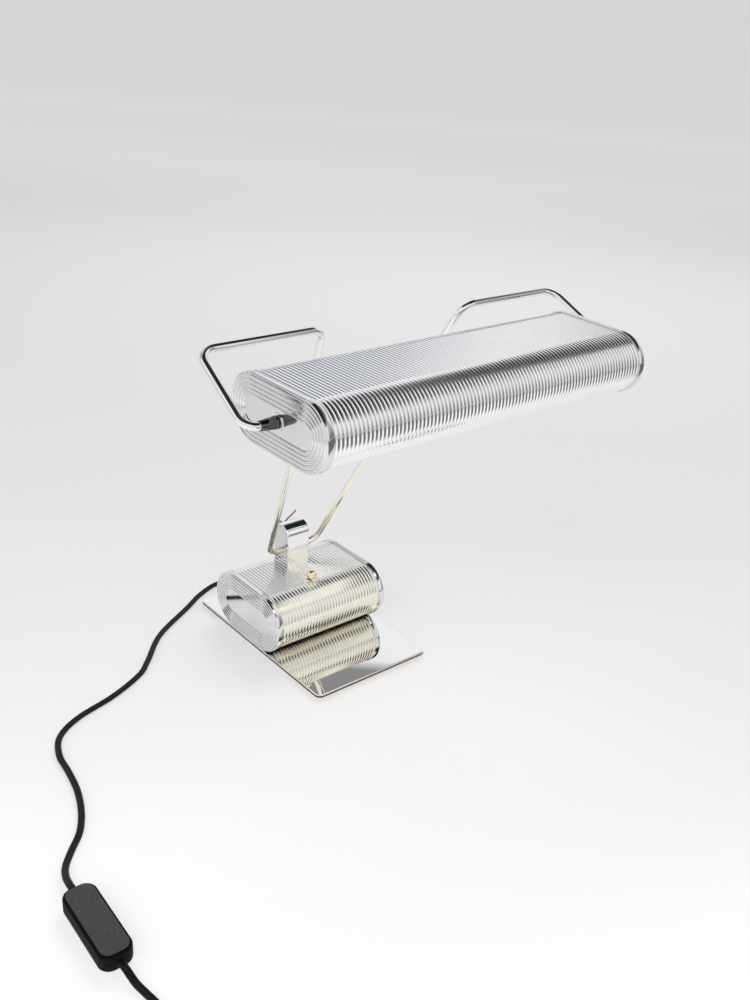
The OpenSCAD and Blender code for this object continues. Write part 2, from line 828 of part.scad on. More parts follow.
function path_dir(p, i) = unit(p[min(i + 1, len(p) - 1)] - p[max(i - 1, 0)]);
function side_dir(u) = unit(cross(u, [0, 0, 1]));
function ring_at(p, i, sides, w, t) =
    let (u = path_dir(p, i), s = side_dir(u), n = cross(s, u), flat = 1 / cos(180 / sides),
        wide = sides % 4 == 0 ? flat : 1, phase_share = sides % 4 == 0 ? 0.5 : 0)
    [for (k = [0:sides - 1]) let (a = (k + phase_share) * 360 / sides)
        p[i] + (wide * cos(a) * w * s + flat * sin(a) * t * n) / 2];

module sweep(rings) {
    sides = len(rings[0]);
    last = (len(rings) - 1) * sides;
    ends = [for (k = [1:sides - 2]) each [[0, k + 1, k], [last, last + k, last + k + 1]]];
    polyhedron(points = [for (r = rings) each r], faces = concat(wall_faces(rings, 0, true), ends));
}

module flat_cord(points, steps) {
    p = [for (q = route(points, steps)) [q[0], q[1], max(q[2], cord_z)]];
    color("black") sweep([for (i = [0:len(p) - 1]) ring_at(p, i, 8, cord_w, cord_t)]);
}

module cord_run() {
    flat_cord(concat([[0, gland_out, casing_z]], run_far_points, [box_from]), 2);
}

// The box lies along its own axis, from where the cord meets it
box_dir = flat_dir(box_turn);
box_mid = box_from + box_len / 2 * box_dir;
box_to = box_from + box_len * box_dir;
box_split = box_h * box_split_share;

module on_box() {
    translate([box_mid[0], box_mid[1], 0]) rotate([0, 0, box_turn]) children();
}

module at_box_screws() {
    for (x = [-1, 1], y = [-1, 1])
        translate([x * (box_len / 2 - box_screw_in), y * (box_w / 2 - box_screw_side), 0]) children();
}

module box_lower() {
    color("black") on_box() difference() {
        linear_extrude(box_split) rounded(box_len, box_w, box_r);
        difference() {
            translate([0, 0, box_wall]) linear_extrude(box_h)
                rounded(box_len - 2 * box_wall, box_w - 2 * box_wall, box_r - box_wall);
            at_box_screws() cylinder(h = box_h, d = box_post_dia);
        }
        at_box_screws() {
            translate([0, 0, -over]) cylinder(h = box_h, d = box_screw_dia + 2 * push_fit);
            translate([0, 0, -over]) cylinder(h = box_screw_head_h + over, d = box_screw_head + 2 * push_fit);
        }
    }
}

module box_upper() {
    deck = box_h - box_panel_h;
    color("black") on_box() difference() {
        union() {
            translate([0, 0, box_split]) linear_extrude(deck - box_split) rounded(box_len, box_w, box_r);
            linear_extrude(box_h) rounded(box_len - 2 * box_rim, box_w - 2 * box_rim, box_r - box_rim);
        }
        translate([0, 0, -over]) linear_extrude(box_split + over) rounded(box_len, box_w, box_r);
        difference() {
            linear_extrude(deck - box_wall)
                rounded(box_len - 2 * box_wall, box_w - 2 * box_wall, box_r - box_wall);
            at_box_screws() cylinder(h = box_h, d = box_post_dia);
        }
        at_box_screws() cylinder(h = deck - box_wall, d = box_screw_dia + 2 * push_fit);
    }
}

module box_screws() {
    color("dimgray") on_box() at_box_screws() {
        cylinder(h = box_screw_head_h, d = box_screw_head);
        cylinder(h = box_h - box_panel_h - 2 * box_wall, d = box_screw_dia);
    }
}

module box_core() {
    color("ivory") on_box() translate([-core_len / 2, -core_w / 2, box_wall])
        cube([core_len, core_w, core_h]);
}

// Coil: turns spiral in on the table, climb in the half turn where they reverse, and spiral out above
coil_side_gap = 0.9;
coil_layer_gap = 0.7;
coil_pitch = cord_w + coil_side_gap;
coil_lift = cord_t + coil_layer_gap;
coil_steps = 24;
coil_start = 180;
coil_total = coil_turns * coil_steps;
coil_end_straight = 2;
cord_joint = 0.3;

function coil_radius(i) = coil_r + coil_pitch * abs(i - coil_total / 2) / coil_steps;
function coil_height(i) =
    let (t = min(max(0.5 + (i - coil_total / 2) / (coil_steps / 2), 0), 1))
    cord_z + coil_lift * t * t * (3 - 2 * t);
function coil_point(i) =
    let (a = coil_start + 360 * i / coil_steps)
    [coil_at[0], coil_at[1], coil_height(i)] + coil_radius(i) * flat_dir(a);
coil_turned = [for (i = [0:coil_total]) coil_point(i)];
coil_in_dir = unit(coil_turned[0] - coil_turned[1]);
coil_out_dir = unit(coil_turned[coil_total] - coil_turned[coil_total - 1]);
coil_line = concat([coil_turned[0] + coil_end_straight * cord_w * coil_in_dir], coil_turned,
    [coil_turned[coil_total] + coil_end_straight * cord_w * coil_out_dir]);
lead_end = coil_line[0] + cord_joint * coil_in_dir;
coil_rings = [for (i = [0:len(coil_line) - 1]) ring_at(coil_line, i, 6, cord_w, cord_t)];

function ring_gap(a, b) = min([for (p = a, q = b) norm(p - q)]);
function near_gaps(rings, line) = [for (i = [0:len(line) - 1], j = [i + 8:len(line) - 1])
    if (norm(line[i] - line[j]) < 2 * cord_w) ring_gap(rings[i], rings[j])];
function line_length(p, i = 1) = i >= len(p) ? 0 : norm(p[i] - p[i - 1]) + line_length(p, i + 1);

module cord_coil() {
    echo(coil_least_gap = min(near_gaps(coil_rings, coil_line)), coil_length = line_length(coil_line));
    echo(run_length = line_length(route(concat([[0, gland_out, casing_z]], run_far_points, [box_from]), 2)));
    echo(lead_length = line_length(route(concat([box_to], lead_far_points, [lead_end]), 2)));
    color("black") sweep(coil_rings);
}

module cord_lead() {
    flat_cord(concat([box_to], lead_far_points, [lead_end]), 2);
}

// The plug lies beside the coil, its cord end at mid height
coil_last = coil_line[len(coil_line) - 1];
tail_turn = atan2(coil_out_dir[1], coil_out_dir[0]);
tail_len = 26;
plug_from = [coil_last[0], coil_last[1], 0] + tail_len * flat_dir(tail_turn) + [0, 0, plug_h / 2];

module cord_tail() {
    half = tail_len / 2;
    flat_cord([coil_last, coil_last + half * flat_dir(tail_turn) + [0, 0, (plug_from[2] - coil_last[2]) / 2],
        plug_from], 2);
}

module on_plug() {
    translate([plug_from[0], plug_from[1], 0]) rotate([0, 0, tail_turn]) children();
}

module at_pins() {
    for (s = [-1, 1]) translate([plug_len - pin_in, s * pin_gap / 2, plug_h / 2])
        rotate([0, 90, 0]) children();
}

module plug_body() {
    shoulder = plug_len * plug_shoulder_share;
    color("black") on_plug() difference() {
        linear_extrude(plug_h) polygon([[0, -plug_neck_w / 2], [shoulder, -plug_w / 2 + plug_step / 2],
            [plug_len - plug_step, -plug_w / 2], [plug_len, -plug_w / 2 + plug_step],
            [plug_len, plug_w / 2 - plug_step], [plug_len - plug_step, plug_w / 2],
            [shoulder, plug_w / 2 - plug_step / 2], [0, plug_neck_w / 2]]);
        at_pins() cylinder(h = pin_in + over, d = pin_dia + 2 * push_fit);
    }
}

module plug_pins() {
    color("silver") on_plug() at_pins() cylinder(h = pin_in + pin_len, d = pin_dia);
}

foot_felt();
base_plate();
plate_screws();
base_shell();
base_cap_left();
base_cap_right();
base_weight();
strap();
strap_screws();
hinge_block();
clamp_nut();
clamp_washer();
clamp_screw();
clamp_lever();
switch_body();
switch_nut();
switch_lever();
terminal_block();
cord_gland();
hinge_bar();
frame_tube_left();
frame_tube_right();
pivot_pins();
pivot_rings();
shade_shell();
shade_cap_left();
shade_cap_right();
pivot_bushes();
reflector();
lampholder_left();
lampholder_right();
holder_screws();
lamp_glass();
lamp_caps();
cord_run();
box_lower();
box_upper();
box_screws();
box_core();
cord_lead();
cord_coil();
cord_tail();
plug_body();
plug_pins();
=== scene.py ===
import math

import bmesh
import bpy
from mathutils import Matrix, Vector


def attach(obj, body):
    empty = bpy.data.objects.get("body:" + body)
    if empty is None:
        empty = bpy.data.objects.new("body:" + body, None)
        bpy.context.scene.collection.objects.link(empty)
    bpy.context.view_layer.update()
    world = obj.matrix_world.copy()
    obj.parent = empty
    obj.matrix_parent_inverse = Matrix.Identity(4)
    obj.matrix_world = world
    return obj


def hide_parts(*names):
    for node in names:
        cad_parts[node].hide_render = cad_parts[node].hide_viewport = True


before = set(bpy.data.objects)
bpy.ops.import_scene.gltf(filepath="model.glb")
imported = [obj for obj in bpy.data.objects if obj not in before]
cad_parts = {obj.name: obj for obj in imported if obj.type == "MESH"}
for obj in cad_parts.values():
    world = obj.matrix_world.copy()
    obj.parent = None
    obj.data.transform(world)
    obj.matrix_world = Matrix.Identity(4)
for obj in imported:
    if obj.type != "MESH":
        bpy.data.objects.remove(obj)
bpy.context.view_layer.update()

MM = 0.001
UP = Vector((0, 0, 1))
scene = bpy.context.scene

# Camera, fitted to the photograph. Its lengths are in millimetres, its focal length in pixels of the picture.

VIEW_YAW, VIEW_PITCH, VIEW_ROLL = math.radians(41.54), math.radians(25.64), math.radians(4.08)
VIEW_CENTRE, VIEW_DISTANCE = Vector((-26.79, -112.9, 202.49)), 907.34
FOCAL_PIXELS, LONG_SIDE_PIXELS, SENSOR = 1059.78, 1000.0, 36.0
CLIP_NEAR, CLIP_FAR = 0.05, 60.0

def place_camera():
    forward = Vector((math.sin(VIEW_YAW) * math.cos(VIEW_PITCH), math.cos(VIEW_YAW) * math.cos(VIEW_PITCH),
                      -math.sin(VIEW_PITCH)))
    right = Vector((math.cos(VIEW_YAW), -math.sin(VIEW_YAW), 0.0))
    up = right.cross(forward)
    right_rolled = right * math.cos(VIEW_ROLL) + up * math.sin(VIEW_ROLL)
    up_rolled = up * math.cos(VIEW_ROLL) - right * math.sin(VIEW_ROLL)
    place = VIEW_CENTRE * MM - forward * VIEW_DISTANCE * MM
    data = bpy.data.cameras.new("camera")
    data.sensor_fit = "AUTO"
    data.sensor_width = SENSOR
    data.lens = FOCAL_PIXELS * SENSOR / LONG_SIDE_PIXELS
    data.clip_start, data.clip_end = CLIP_NEAR, CLIP_FAR
    camera = bpy.data.objects.new("camera", data)
    scene.collection.objects.link(camera)
    turn = Matrix((right_rolled, up_rolled, -forward)).transposed()
    camera.matrix_world = Matrix.Translation(place) @ turn.to_4x4()
    scene.camera = camera

place_camera()
scene.view_settings.view_transform = "Standard"
scene.view_settings.look = "None"
scene.view_settings.exposure = 0.0

# Sizes and places, as the CAD has them, in millimetres.

PLATE_W, PLATE_D, PLATE_T, PLATE_R, FELT_T, PLATE_BACK = 134.0, 207.0, 3.0, 6.0, 2.0, 4.0
BASE_LEN, BASE_D, BASE_H, BASE_BACK, BASE_RIBS = 132.0, 110.0, 59.0, 22.0, 36
SHADE_LEN, SHADE_D, SHADE_H, SHADE_RIBS = 338.0, 116.0, 54.0, 92
RIB_H, SHEET_T, SKIRT, CAP_WALL, PUSH = 0.9, 1.0, 6.5, 1.0, 0.05
RIDGES, RIDGE_PITCH, RIDGE_W, RIDGE_H = 5, 3.4, 1.7, 1.0
PLATE_TOP = FELT_T + PLATE_T
CASING_Z = PLATE_TOP + BASE_H / 2
CASING_TOP = PLATE_TOP + BASE_H - CAP_WALL - PUSH
WEIGHT_ROOM = 20.0
WEIGHT_TOP = CASING_Z + BASE_H / 2 - (CAP_WALL + PUSH + RIB_H + SHEET_T) - WEIGHT_ROOM
HINGE = Vector((0.0, 40.4, 79.65))
LEAN, LEG_RUN, ARM_RUN = math.radians(26.0), 307.0, 79.0
TOP = HINGE + LEG_RUN * Vector((0.0, -math.sin(LEAN), math.cos(LEAN)))
PIVOT = TOP + ARM_RUN * Vector((0.0, -math.cos(LEAN), -math.sin(LEAN)))
TUBE, TUBE_BEND, PIVOT_BEND, TUBE_IN_PIN = 6.4, 15.0, 10.5, 7.0
LOW_X, INNER_X, OUTER_X, PIVOT_X = 28.7, 75.8, 189.5, 195.5
PIN_START = SHADE_LEN / 2 + 1.0
STRAP_W, STRAP_T, STRAP_R, STRAP_FOOT, STRAP_RISE, STRAP_CORNER = 26.0, 2.0, 11.0, 11.0, 33.8, 1.6
STRAP_EDGE, STRAP_EDGE_SHARE, STRAP_EDGE_FLAT, STRAP_FACE_FLAT = 0.35, 0.3, 0.6, 0.9
SWITCH_AT, SWITCH_TILT = Vector((-7.0, -1.5, 61.95)), math.radians(17)
SWITCH_BALL, SWITCH_REACH, SWITCH_TIP, SWITCH_FOOT, SWITCH_ROD, SWITCH_ROD_FROM = 5.2, 8.6, 0.15, 2.0, 1.1, 1.7
CLAMP_AT, CLAMP_TILT = Vector((0.0, HINGE.y + 17.2, CASING_TOP + 34.8)), math.radians(34)
CLAMP_ROD, CLAMP_REACH, CLAMP_KNOB, CLAMP_KNOB_BACK, CLAMP_TIP = 0.9, 19.5, 1.1, 1.0, 0.05
CORD_W, CORD_T = 5.6, 3.2
FLAT_EDGE = 0.6     # narrow strip that keeps a flat's shading apart from the round beside it
HAIR = 0.01         # keeps points that meet apart
MIN_CORNER = 0.05
END_STEPS, CASING_STEPS, CORNER_STEPS, PLUG_CORNER_STEPS, STRAP_CORNER_STEPS, TUBE_BEND_STEPS = 22, 26, 10, 6, 6, 16
TUBE_SIDES, TURNED_SIDES, ROD_SIDES = 28, 40, 24

# Mesh helpers. All take and give millimetres.

def piece(name, verts, faces, material, body, slot, replaces, smooth, extra=(), material_of=None):
    """Smooth mesh with sharp edges from an angle in degrees on, riding on a body in place of CAD nodes."""
    mesh = bpy.data.meshes.new(name)
    mesh.from_pydata([tuple(Vector(v) * MM) for v in verts], [], faces)
    mesh.validate()
    bm = bmesh.new()
    bm.from_mesh(mesh)
    bmesh.ops.recalc_face_normals(bm, faces=bm.faces)
    bm.to_mesh(mesh)
    bm.free()
    mesh.polygons.foreach_set("use_smooth", [True] * len(mesh.polygons))
    mesh.set_sharp_from_angle(angle=math.radians(smooth))
    for each in (material, *extra):
        mesh.materials.append(each)
    if material_of:
        for poly in mesh.polygons:
            poly.material_index = material_of(poly)
    obj = bpy.data.objects.new(name, mesh)
    scene.collection.objects.link(obj)
    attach(obj, body)
    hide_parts(*replaces)
    return obj

def loft(rings, loop=False):
    """Quads between rings that follow each other. The ends are filled, or the last ring joins the first."""
    n, count = len(rings[0]), len(rings)
    verts = [tuple(p) for ring in rings for p in ring]
    faces = []
    for i in range(count if loop else count - 1):
        j = (i + 1) % count
        for k in range(n):
            m = (k + 1) % n
            faces.append((i * n + k, i * n + m, j * n + m, j * n + k))
    if not loop:
        faces += [tuple(range(n)), tuple(range((count - 1) * n, count * n))]
    return verts, faces

def join_parts(parts):
    verts, faces = [], []
    for part_verts, part_faces in parts:
        base = len(verts)
        verts += part_verts
        faces += [tuple(i + base for i in face) for face in part_faces]
    return verts, faces

def round_section(r, sides):
    return [(r * math.cos(2 * math.pi * k / sides), r * math.sin(2 * math.pi * k / sides)) for k in range(sides)]

def lathe(profile, sides, matrix):
    """Profile of (radius, height), turned round the matrix's Z."""
    return loft([[matrix @ Vector((x, y, z)) for x, y in round_section(r, sides)] for r, z in profile])

def ball_profile(r, centre, angles):
    """(radius, height) on a ball, at angles in degrees from its lower pole."""
    return [(r * math.sin(math.radians(a)), centre - r * math.cos(math.radians(a))) for a in angles]

def arc(cx, cy, r, start, end, steps):
    angles = [math.radians(start + (end - start) * k / steps) for k in range(steps + 1)]
    return [(cx + r * math.cos(a), cy + r * math.sin(a)) for a in angles]

def stadium_ring(d, h, inset):
    """Closed outline in (y, z): straight flats and round ends, moved in by inset."""
    half, r = (d - h) / 2, h / 2 - inset
    near = half - FLAT_EDGE
    return ([(near, -r)] + arc(half, 0.0, r, -90, 90, END_STEPS) + [(near, r), (-near, r)]
            + arc(-half, 0.0, r, 90, 270, END_STEPS) + [(-near, -r)])

def rounded_outline(w, d, r, inset, steps):
    """Closed outline in (x, y) of a rectangle with round corners, moved in by inset."""
    out = []
    r = max(r - inset, MIN_CORNER)
    for sx, sy, a in ((1, -1, -90), (1, 1, 0), (-1, 1, 90), (-1, -1, 180)):
        out += arc(sx * (w / 2 - inset - r), sy * (d / 2 - inset - r), r, a, a + 90, steps)
    return out

def bent_path(points, radii, steps):
    """Corner points with round bends, one radius for each corner."""
    out = [Vector(points[0])]
    for i, r in enumerate(radii, 1):
        p = Vector(points[i])
        u = (p - Vector(points[i - 1])).normalized()
        v = (Vector(points[i + 1]) - p).normalized()
        full = u.angle(v)
        n = (v - u.dot(v) * u).normalized()
        middle = p - r * math.tan(full / 2) * u + r * n
        for k in range(steps + 1):
            a = full * k / steps
            out.append(middle + r * (math.sin(a) * u - math.cos(a) * n))
    out.append(Vector(points[-1]))
    return out

NEARLY_UPRIGHT, TINY = 0.9, 1e-6

def swept(path, section, side=None):
    """section: (s, t) points for all stations, or a list of such sections, one for each station.
    side: "level", a fixed side vector, or none for a side that is carried along without twist."""
    last = len(path) - 1
    dirs = [(path[min(i + 1, last)] - path[max(i - 1, 0)]).normalized() for i in range(last + 1)]
    first = UP if abs(dirs[0].z) < NEARLY_UPRIGHT else Vector((0, 1, 0))
    carried = (first - first.dot(dirs[0]) * dirs[0]).normalized()
    rings = []
    for i, (p, u) in enumerate(zip(path, dirs)):
        if side == "level":
            s = u.cross(UP)
            s = s.normalized() if s.length > TINY else carried
        elif side is not None:
            s = (Vector(side) - Vector(side).dot(u) * u).normalized()
        else:
            carried = (carried - carried.dot(u) * u).normalized()
            s = carried
        t = s.cross(u)
        now = section[i] if isinstance(section[0], list) else section
        rings.append([p + a * s + b * t for a, b in now])
    return loft(rings)

# Materials. All patterns are procedural, over each piece's own coordinates.

def empty_material(name):
    mat = bpy.data.materials.new(name)
    mat.use_nodes = True
    nt = mat.node_tree
    nt.nodes.clear()
    return mat, nt, nt.nodes.new("ShaderNodeOutputMaterial")

def new_material(name):
    mat, nt, out = empty_material(name)
    bsdf = nt.nodes.new("ShaderNodeBsdfPrincipled")
    nt.links.new(bsdf.outputs["BSDF"], out.inputs["Surface"])
    return mat, nt, bsdf

def set_on_shader(mat, **values):
    bsdf = mat.node_tree.nodes["Principled BSDF"]
    for name, value in values.items():
        bsdf.inputs[name.replace("_", " ")].default_value = value

def coords(nt, scale=(1, 1, 1), turn=0.0):
    tex = nt.nodes.new("ShaderNodeTexCoord")
    mapping = nt.nodes.new("ShaderNodeMapping")
    mapping.inputs["Scale"].default_value = scale
    mapping.inputs["Rotation"].default_value = (0, 0, turn)
    nt.links.new(tex.outputs["Object"], mapping.inputs["Vector"])
    return mapping.outputs["Vector"]

def axes(nt, vector):
    """The X, Y and Z outputs of a vector."""
    sep = nt.nodes.new("ShaderNodeSeparateXYZ")
    nt.links.new(vector, sep.inputs["Vector"])
    return sep.outputs

def noise(nt, vector, scale, detail=4.0, rough=0.55):
    n = nt.nodes.new("ShaderNodeTexNoise")
    n.inputs["Scale"].default_value = scale
    n.inputs["Detail"].default_value = detail
    n.inputs["Roughness"].default_value = rough
    nt.links.new(vector, n.inputs["Vector"])
    return n.outputs["Fac"]

def ramp(nt, fac, stops):
    """stops: (position, colour), in rising order."""
    r = nt.nodes.new("ShaderNodeValToRGB")
    els = r.color_ramp.elements
    while len(els) > 1:
        els.remove(els[-1])
    els[0].position, els[0].color = stops[0][0], (*stops[0][1], 1.0)
    for pos, col in stops[1:]:
        els.new(pos).color = (*col, 1.0)
    nt.links.new(fac, r.inputs["Fac"])
    return r.outputs["Color"]

def span(nt, fac, lo, hi, a=0.0, b=1.0, kind="LINEAR"):
    """Takes lo to hi over to a to b, and stays within a and b."""
    m = nt.nodes.new("ShaderNodeMapRange")
    m.interpolation_type = kind
    m.inputs["From Min"].default_value = lo
    m.inputs["From Max"].default_value = hi
    m.inputs["To Min"].default_value = a
    m.inputs["To Max"].default_value = b
    nt.links.new(fac, m.inputs["Value"])
    return m.outputs["Result"]

def product(nt, *factors):
    total = factors[0]
    for factor in factors[1:]:
        times = nt.nodes.new("ShaderNodeMath")
        times.operation = "MULTIPLY"
        nt.links.new(total, times.inputs[0])
        nt.links.new(factor, times.inputs[1])
        total = times.outputs[0]
    return total

def mix(nt, fac, a, b):
    m = nt.nodes.new("ShaderNodeMix")
    m.data_type = "RGBA"
    nt.links.new(fac, m.inputs["Factor"])
    colour_a, colour_b = m.inputs[6], m.inputs[7]
    nt.links.new(a, colour_a)
    nt.links.new(b, colour_b)
    return m.outputs[2]

def bump(nt, bsdf, height, strength, distance):
    b = nt.nodes.new("ShaderNodeBump")
    b.inputs["Strength"].default_value = strength
    b.inputs["Distance"].default_value = distance
    nt.links.new(height, b.inputs["Height"])
    nt.links.new(b.outputs["Normal"], bsdf.inputs["Normal"])

NOISE_LOW, NOISE_HIGH = 0.3, 0.7    # where most of a noise's values lie
CLOUD_SCALE, CLOUD_DETAIL, HAIRLINE_DETAIL, HAIRLINE_ROUGH, BROAD_SHARE = 26.0, 3.0, 5.0, 0.6, 0.05
HAIRLINE_DEPTH, GRAIN_DEPTH, CELL_DEPTH, CELL_SCALE, SPECK_SCALE = 0.00002, 0.0002, 0.00015, 1500.0, 700.0

def metal(name, light, dark, rough, stretch=(1, 1, 1), grain=900.0, depth=0.04, warm_reflection=None):
    """Bright metal: faint clouds in its colour and hairlines in its gloss.
    The last argument paints a warm reflection: a tint that is full below the first height and gone above the second, in
    metres."""
    mat, nt, bsdf = new_material(name)
    bsdf.inputs["Metallic"].default_value = 1.0
    cloud = noise(nt, coords(nt), CLOUD_SCALE, CLOUD_DETAIL)
    colour = ramp(nt, cloud, [(NOISE_LOW, dark), (NOISE_HIGH, light)])
    # Painted warm reflection, mixed into the colour low down.
    if warm_reflection:
        low, high, tint = warm_reflection
        fade = span(nt, axes(nt, coords(nt))["Z"], low, high, 1.0, 0.0)
        warm_reflection_colour = ramp(nt, cloud, [(NOISE_LOW, tuple(c * 0.93 for c in tint)), (NOISE_HIGH, tint)])
        colour = mix(nt, fade, colour, warm_reflection_colour)
    nt.links.new(colour, bsdf.inputs["Base Color"])
    lines = noise(nt, coords(nt, stretch), grain, HAIRLINE_DETAIL, HAIRLINE_ROUGH)
    nt.links.new(span(nt, lines, NOISE_LOW, 0.75, rough * 0.6, rough * 1.5), bsdf.inputs["Roughness"])
    bump(nt, bsdf, lines, depth, HAIRLINE_DEPTH)
    return mat

def plain(name, light, dark, rough, scale, depth, coat=0.0, sheen=0.0):
    """Any other matter: broad clouds in its colour, and a fine grain in its gloss and surface."""
    mat, nt, bsdf = new_material(name)
    vec = coords(nt)
    fine = noise(nt, vec, scale)
    broad = noise(nt, vec, scale * BROAD_SHARE, CLOUD_DETAIL)
    nt.links.new(ramp(nt, broad, [(0.32, dark), (0.68, light)]), bsdf.inputs["Base Color"])
    gloss = span(nt, fine, NOISE_LOW, NOISE_HIGH, rough * 0.85, min(rough * 1.15, 1.0))
    nt.links.new(gloss, bsdf.inputs["Roughness"])
    bump(nt, bsdf, fine, depth, GRAIN_DEPTH)
    if coat:
        set_on_shader(mat, Coat_Weight=coat, Coat_Roughness=0.08)
    if sheen:
        set_on_shader(mat, Sheen_Weight=sheen)
    return mat

def grained_plastic(name, dark, light, specular):
    """Black plastic with a moulded grain of small cells. dark and light: levels."""
    mat, nt, bsdf = new_material(name)
    vec = coords(nt)
    cells = nt.nodes.new("ShaderNodeTexVoronoi")
    cells.inputs["Scale"].default_value = CELL_SCALE
    nt.links.new(vec, cells.inputs["Vector"])
    fine = noise(nt, vec, SPECK_SCALE, 5.0)
    colour = ramp(nt, fine, [(at, (v, v, v * 1.06)) for at, v in ((NOISE_LOW, dark), (NOISE_HIGH, light))])
    nt.links.new(colour, bsdf.inputs["Base Color"])
    nt.links.new(span(nt, fine, NOISE_LOW, NOISE_HIGH, 0.5, 0.68), bsdf.inputs["Roughness"])
    set_on_shader(mat, Specular_IOR_Level=specular, Specular_Tint=(0.8, 0.8, 0.82, 1.0))
    bump(nt, bsdf, cells.outputs["Distance"], 0.35, CELL_DEPTH)
    return mat

# Colour of the painted warm reflection low on the base's ribs and on the tubes near the base.
WARM_REFLECTION = (1.0, 0.955, 0.82)
ALONG_RIBS = (0.3, 4, 4)
chrome_shade = metal("chrome_shade", (0.93, 0.935, 0.945), (0.89, 0.895, 0.905), 0.12, ALONG_RIBS)
chrome_base = metal("chrome_base", (0.94, 0.94, 0.93), (0.9, 0.895, 0.885), 0.2, ALONG_RIBS, warm_reflection=(0.03, 0.066, WARM_REFLECTION))
chrome_cap = metal("chrome_cap", (0.82, 0.82, 0.825), (0.75, 0.75, 0.755), 0.09, (1, 3, 3))
chrome_tube = metal("chrome_tube", (0.9, 0.9, 0.9), (0.86, 0.86, 0.865), 0.045, warm_reflection=(0.1, 0.26, WARM_REFLECTION))
# Chrome darkened nearly to black for the pivot ferrules: a painted dark reflection.
chrome_painted_dark = metal("chrome_painted_dark", (0.14, 0.14, 0.145), (0.08, 0.08, 0.085), 0.07, (4, 1, 1))
chrome_strap = metal("chrome_strap", (0.95, 0.95, 0.94), (0.91, 0.91, 0.9), 0.08)
chrome_plate = metal("chrome_plate", (0.9, 0.9, 0.9), (0.87, 0.87, 0.875), 0.012, grain=500.0, depth=0.02)
plate_edge = metal("plate_edge", (0.2, 0.11, 0.07), (0.12, 0.06, 0.035), 0.22, (1, 1, 6))
# Pale, mostly non-metal bevel round the plate's top: a painted highlight line.
plate_bevel_highlight = metal("plate_bevel_highlight", (1.0, 0.97, 0.94), (0.95, 0.91, 0.87), 0.3, (1, 1, 6))
set_on_shader(plate_bevel_highlight, Metallic=0.25)
steel = metal("steel", (0.72, 0.72, 0.73), (0.62, 0.62, 0.63), 0.28, (1, 1, 8), depth=0.1)
brass_ball = metal("brass_ball", (0.93, 0.85, 0.66), (0.85, 0.75, 0.55), 0.08)
# Chrome greyed and warmed for the clamp rod: a painted reflection of dark and warm surroundings.
lever_chrome_painted_reflection = metal("lever_chrome_painted_reflection", (0.5, 0.46, 0.4), (0.38, 0.34, 0.29), 0.08)
block_satin = metal("block_satin", (0.74, 0.74, 0.75), (0.66, 0.66, 0.67), 0.34, (1, 5, 1), depth=0.12)
iron = plain("iron", (0.16, 0.165, 0.17), (0.1, 0.105, 0.11), 0.7, 1400.0, 0.6)
felt = plain("felt", (0.08, 0.08, 0.085), (0.05, 0.05, 0.055), 0.95, 2600.0, 0.9, sheen=0.3)
white_paint = plain("white_paint", (0.9, 0.9, 0.87), (0.85, 0.85, 0.82), 0.35, 900.0, 0.12, coat=0.2)
ivory_plastic = plain("ivory_plastic", (0.82, 0.8, 0.73), (0.76, 0.74, 0.67), 0.32, 700.0, 0.08, coat=0.3)
opal_glass = plain("opal_glass", (0.93, 0.93, 0.91), (0.9, 0.9, 0.88), 0.12, 300.0, 0.02, coat=0.6)
set_on_shader(opal_glass, Emission_Color=(1.0, 0.89, 0.72, 1.0), Emission_Strength=2.2)
dark_plastic = plain("dark_plastic", (0.06, 0.045, 0.035), (0.04, 0.03, 0.025), 0.45, 1500.0, 0.3)
cord_rubber = plain("cord_rubber", (0.012, 0.012, 0.013), (0.006, 0.006, 0.007), 0.4, 1800.0, 0.15)
set_on_shader(cord_rubber, Specular_IOR_Level=0.22)
box_plastic = grained_plastic("box_plastic", 0.004, 0.011, 0.07)
# Lighter copy of the box plastic for the up-facing top panel: partly the panel's own plastic, partly painted light from
# above.
panel_plastic_and_painted_light = grained_plastic("panel_plastic_and_painted_light", 0.05, 0.1, 0.4)

# Cord. It runs from the casing to the box, then to the coil and on to the plug.

GLAND_OUT = Vector((0.0, 78.95, 34.5))
RUN = [(-1, 98, 31), (-4, 114, 16), (-14, 127, 4.6), (-34, 131, 1.6), (-60, 121, 1.6), (-84, 106, 1.6), (-132, 77, 1.6),
       (-164, 44, 1.6), (-182, 28, 1.6), (-217, 12, 1.6), (-256, 1, 1.6), (-280, -14, 1.6), (-291, -36, 1.6),
       (-294, -60, 1.6), (-298, -84, 1.6), (-306, -108, 1.6), (-317, -128, 1.6), (-331, -143, 1.8), (-341, -155, 2.6),
       (-346, -166, 4.4), (-348, -177, 6.6)]
LEAD = [(-350, -267, 5.6), (-349, -276, 2.6), (-347, -287, 1.6), (-345, -300, 1.6), (-342, -324, 1.6),
        (-339, -348, 1.6), (-336, -373, 1.6)]
BOX_LEN, BOX_W, BOX_R, PANEL_Z = 72.0, 25.0, 9.0, 13.6
BOX_FROM, BOX_TURN = Vector((-348.0, -186.0, 7.0)), math.radians(-92.0)
BOX_DIR = Vector((math.cos(BOX_TURN), math.sin(BOX_TURN), 0.0))
COIL_AT, COIL_TURNS, COIL_R, COIL_GAP, COIL_LIFT = Vector((-296.0, -396.0, 0.0)), 5, 24.0, 0.9, 0.7
PLUG_H, PLUG_TAIL, PLUG_CORNER, PLUG_CORNER_SHARE = 13.6, 26.0, 4.8, 0.42
COIL_STEPS, COIL_START = 48, 180.0

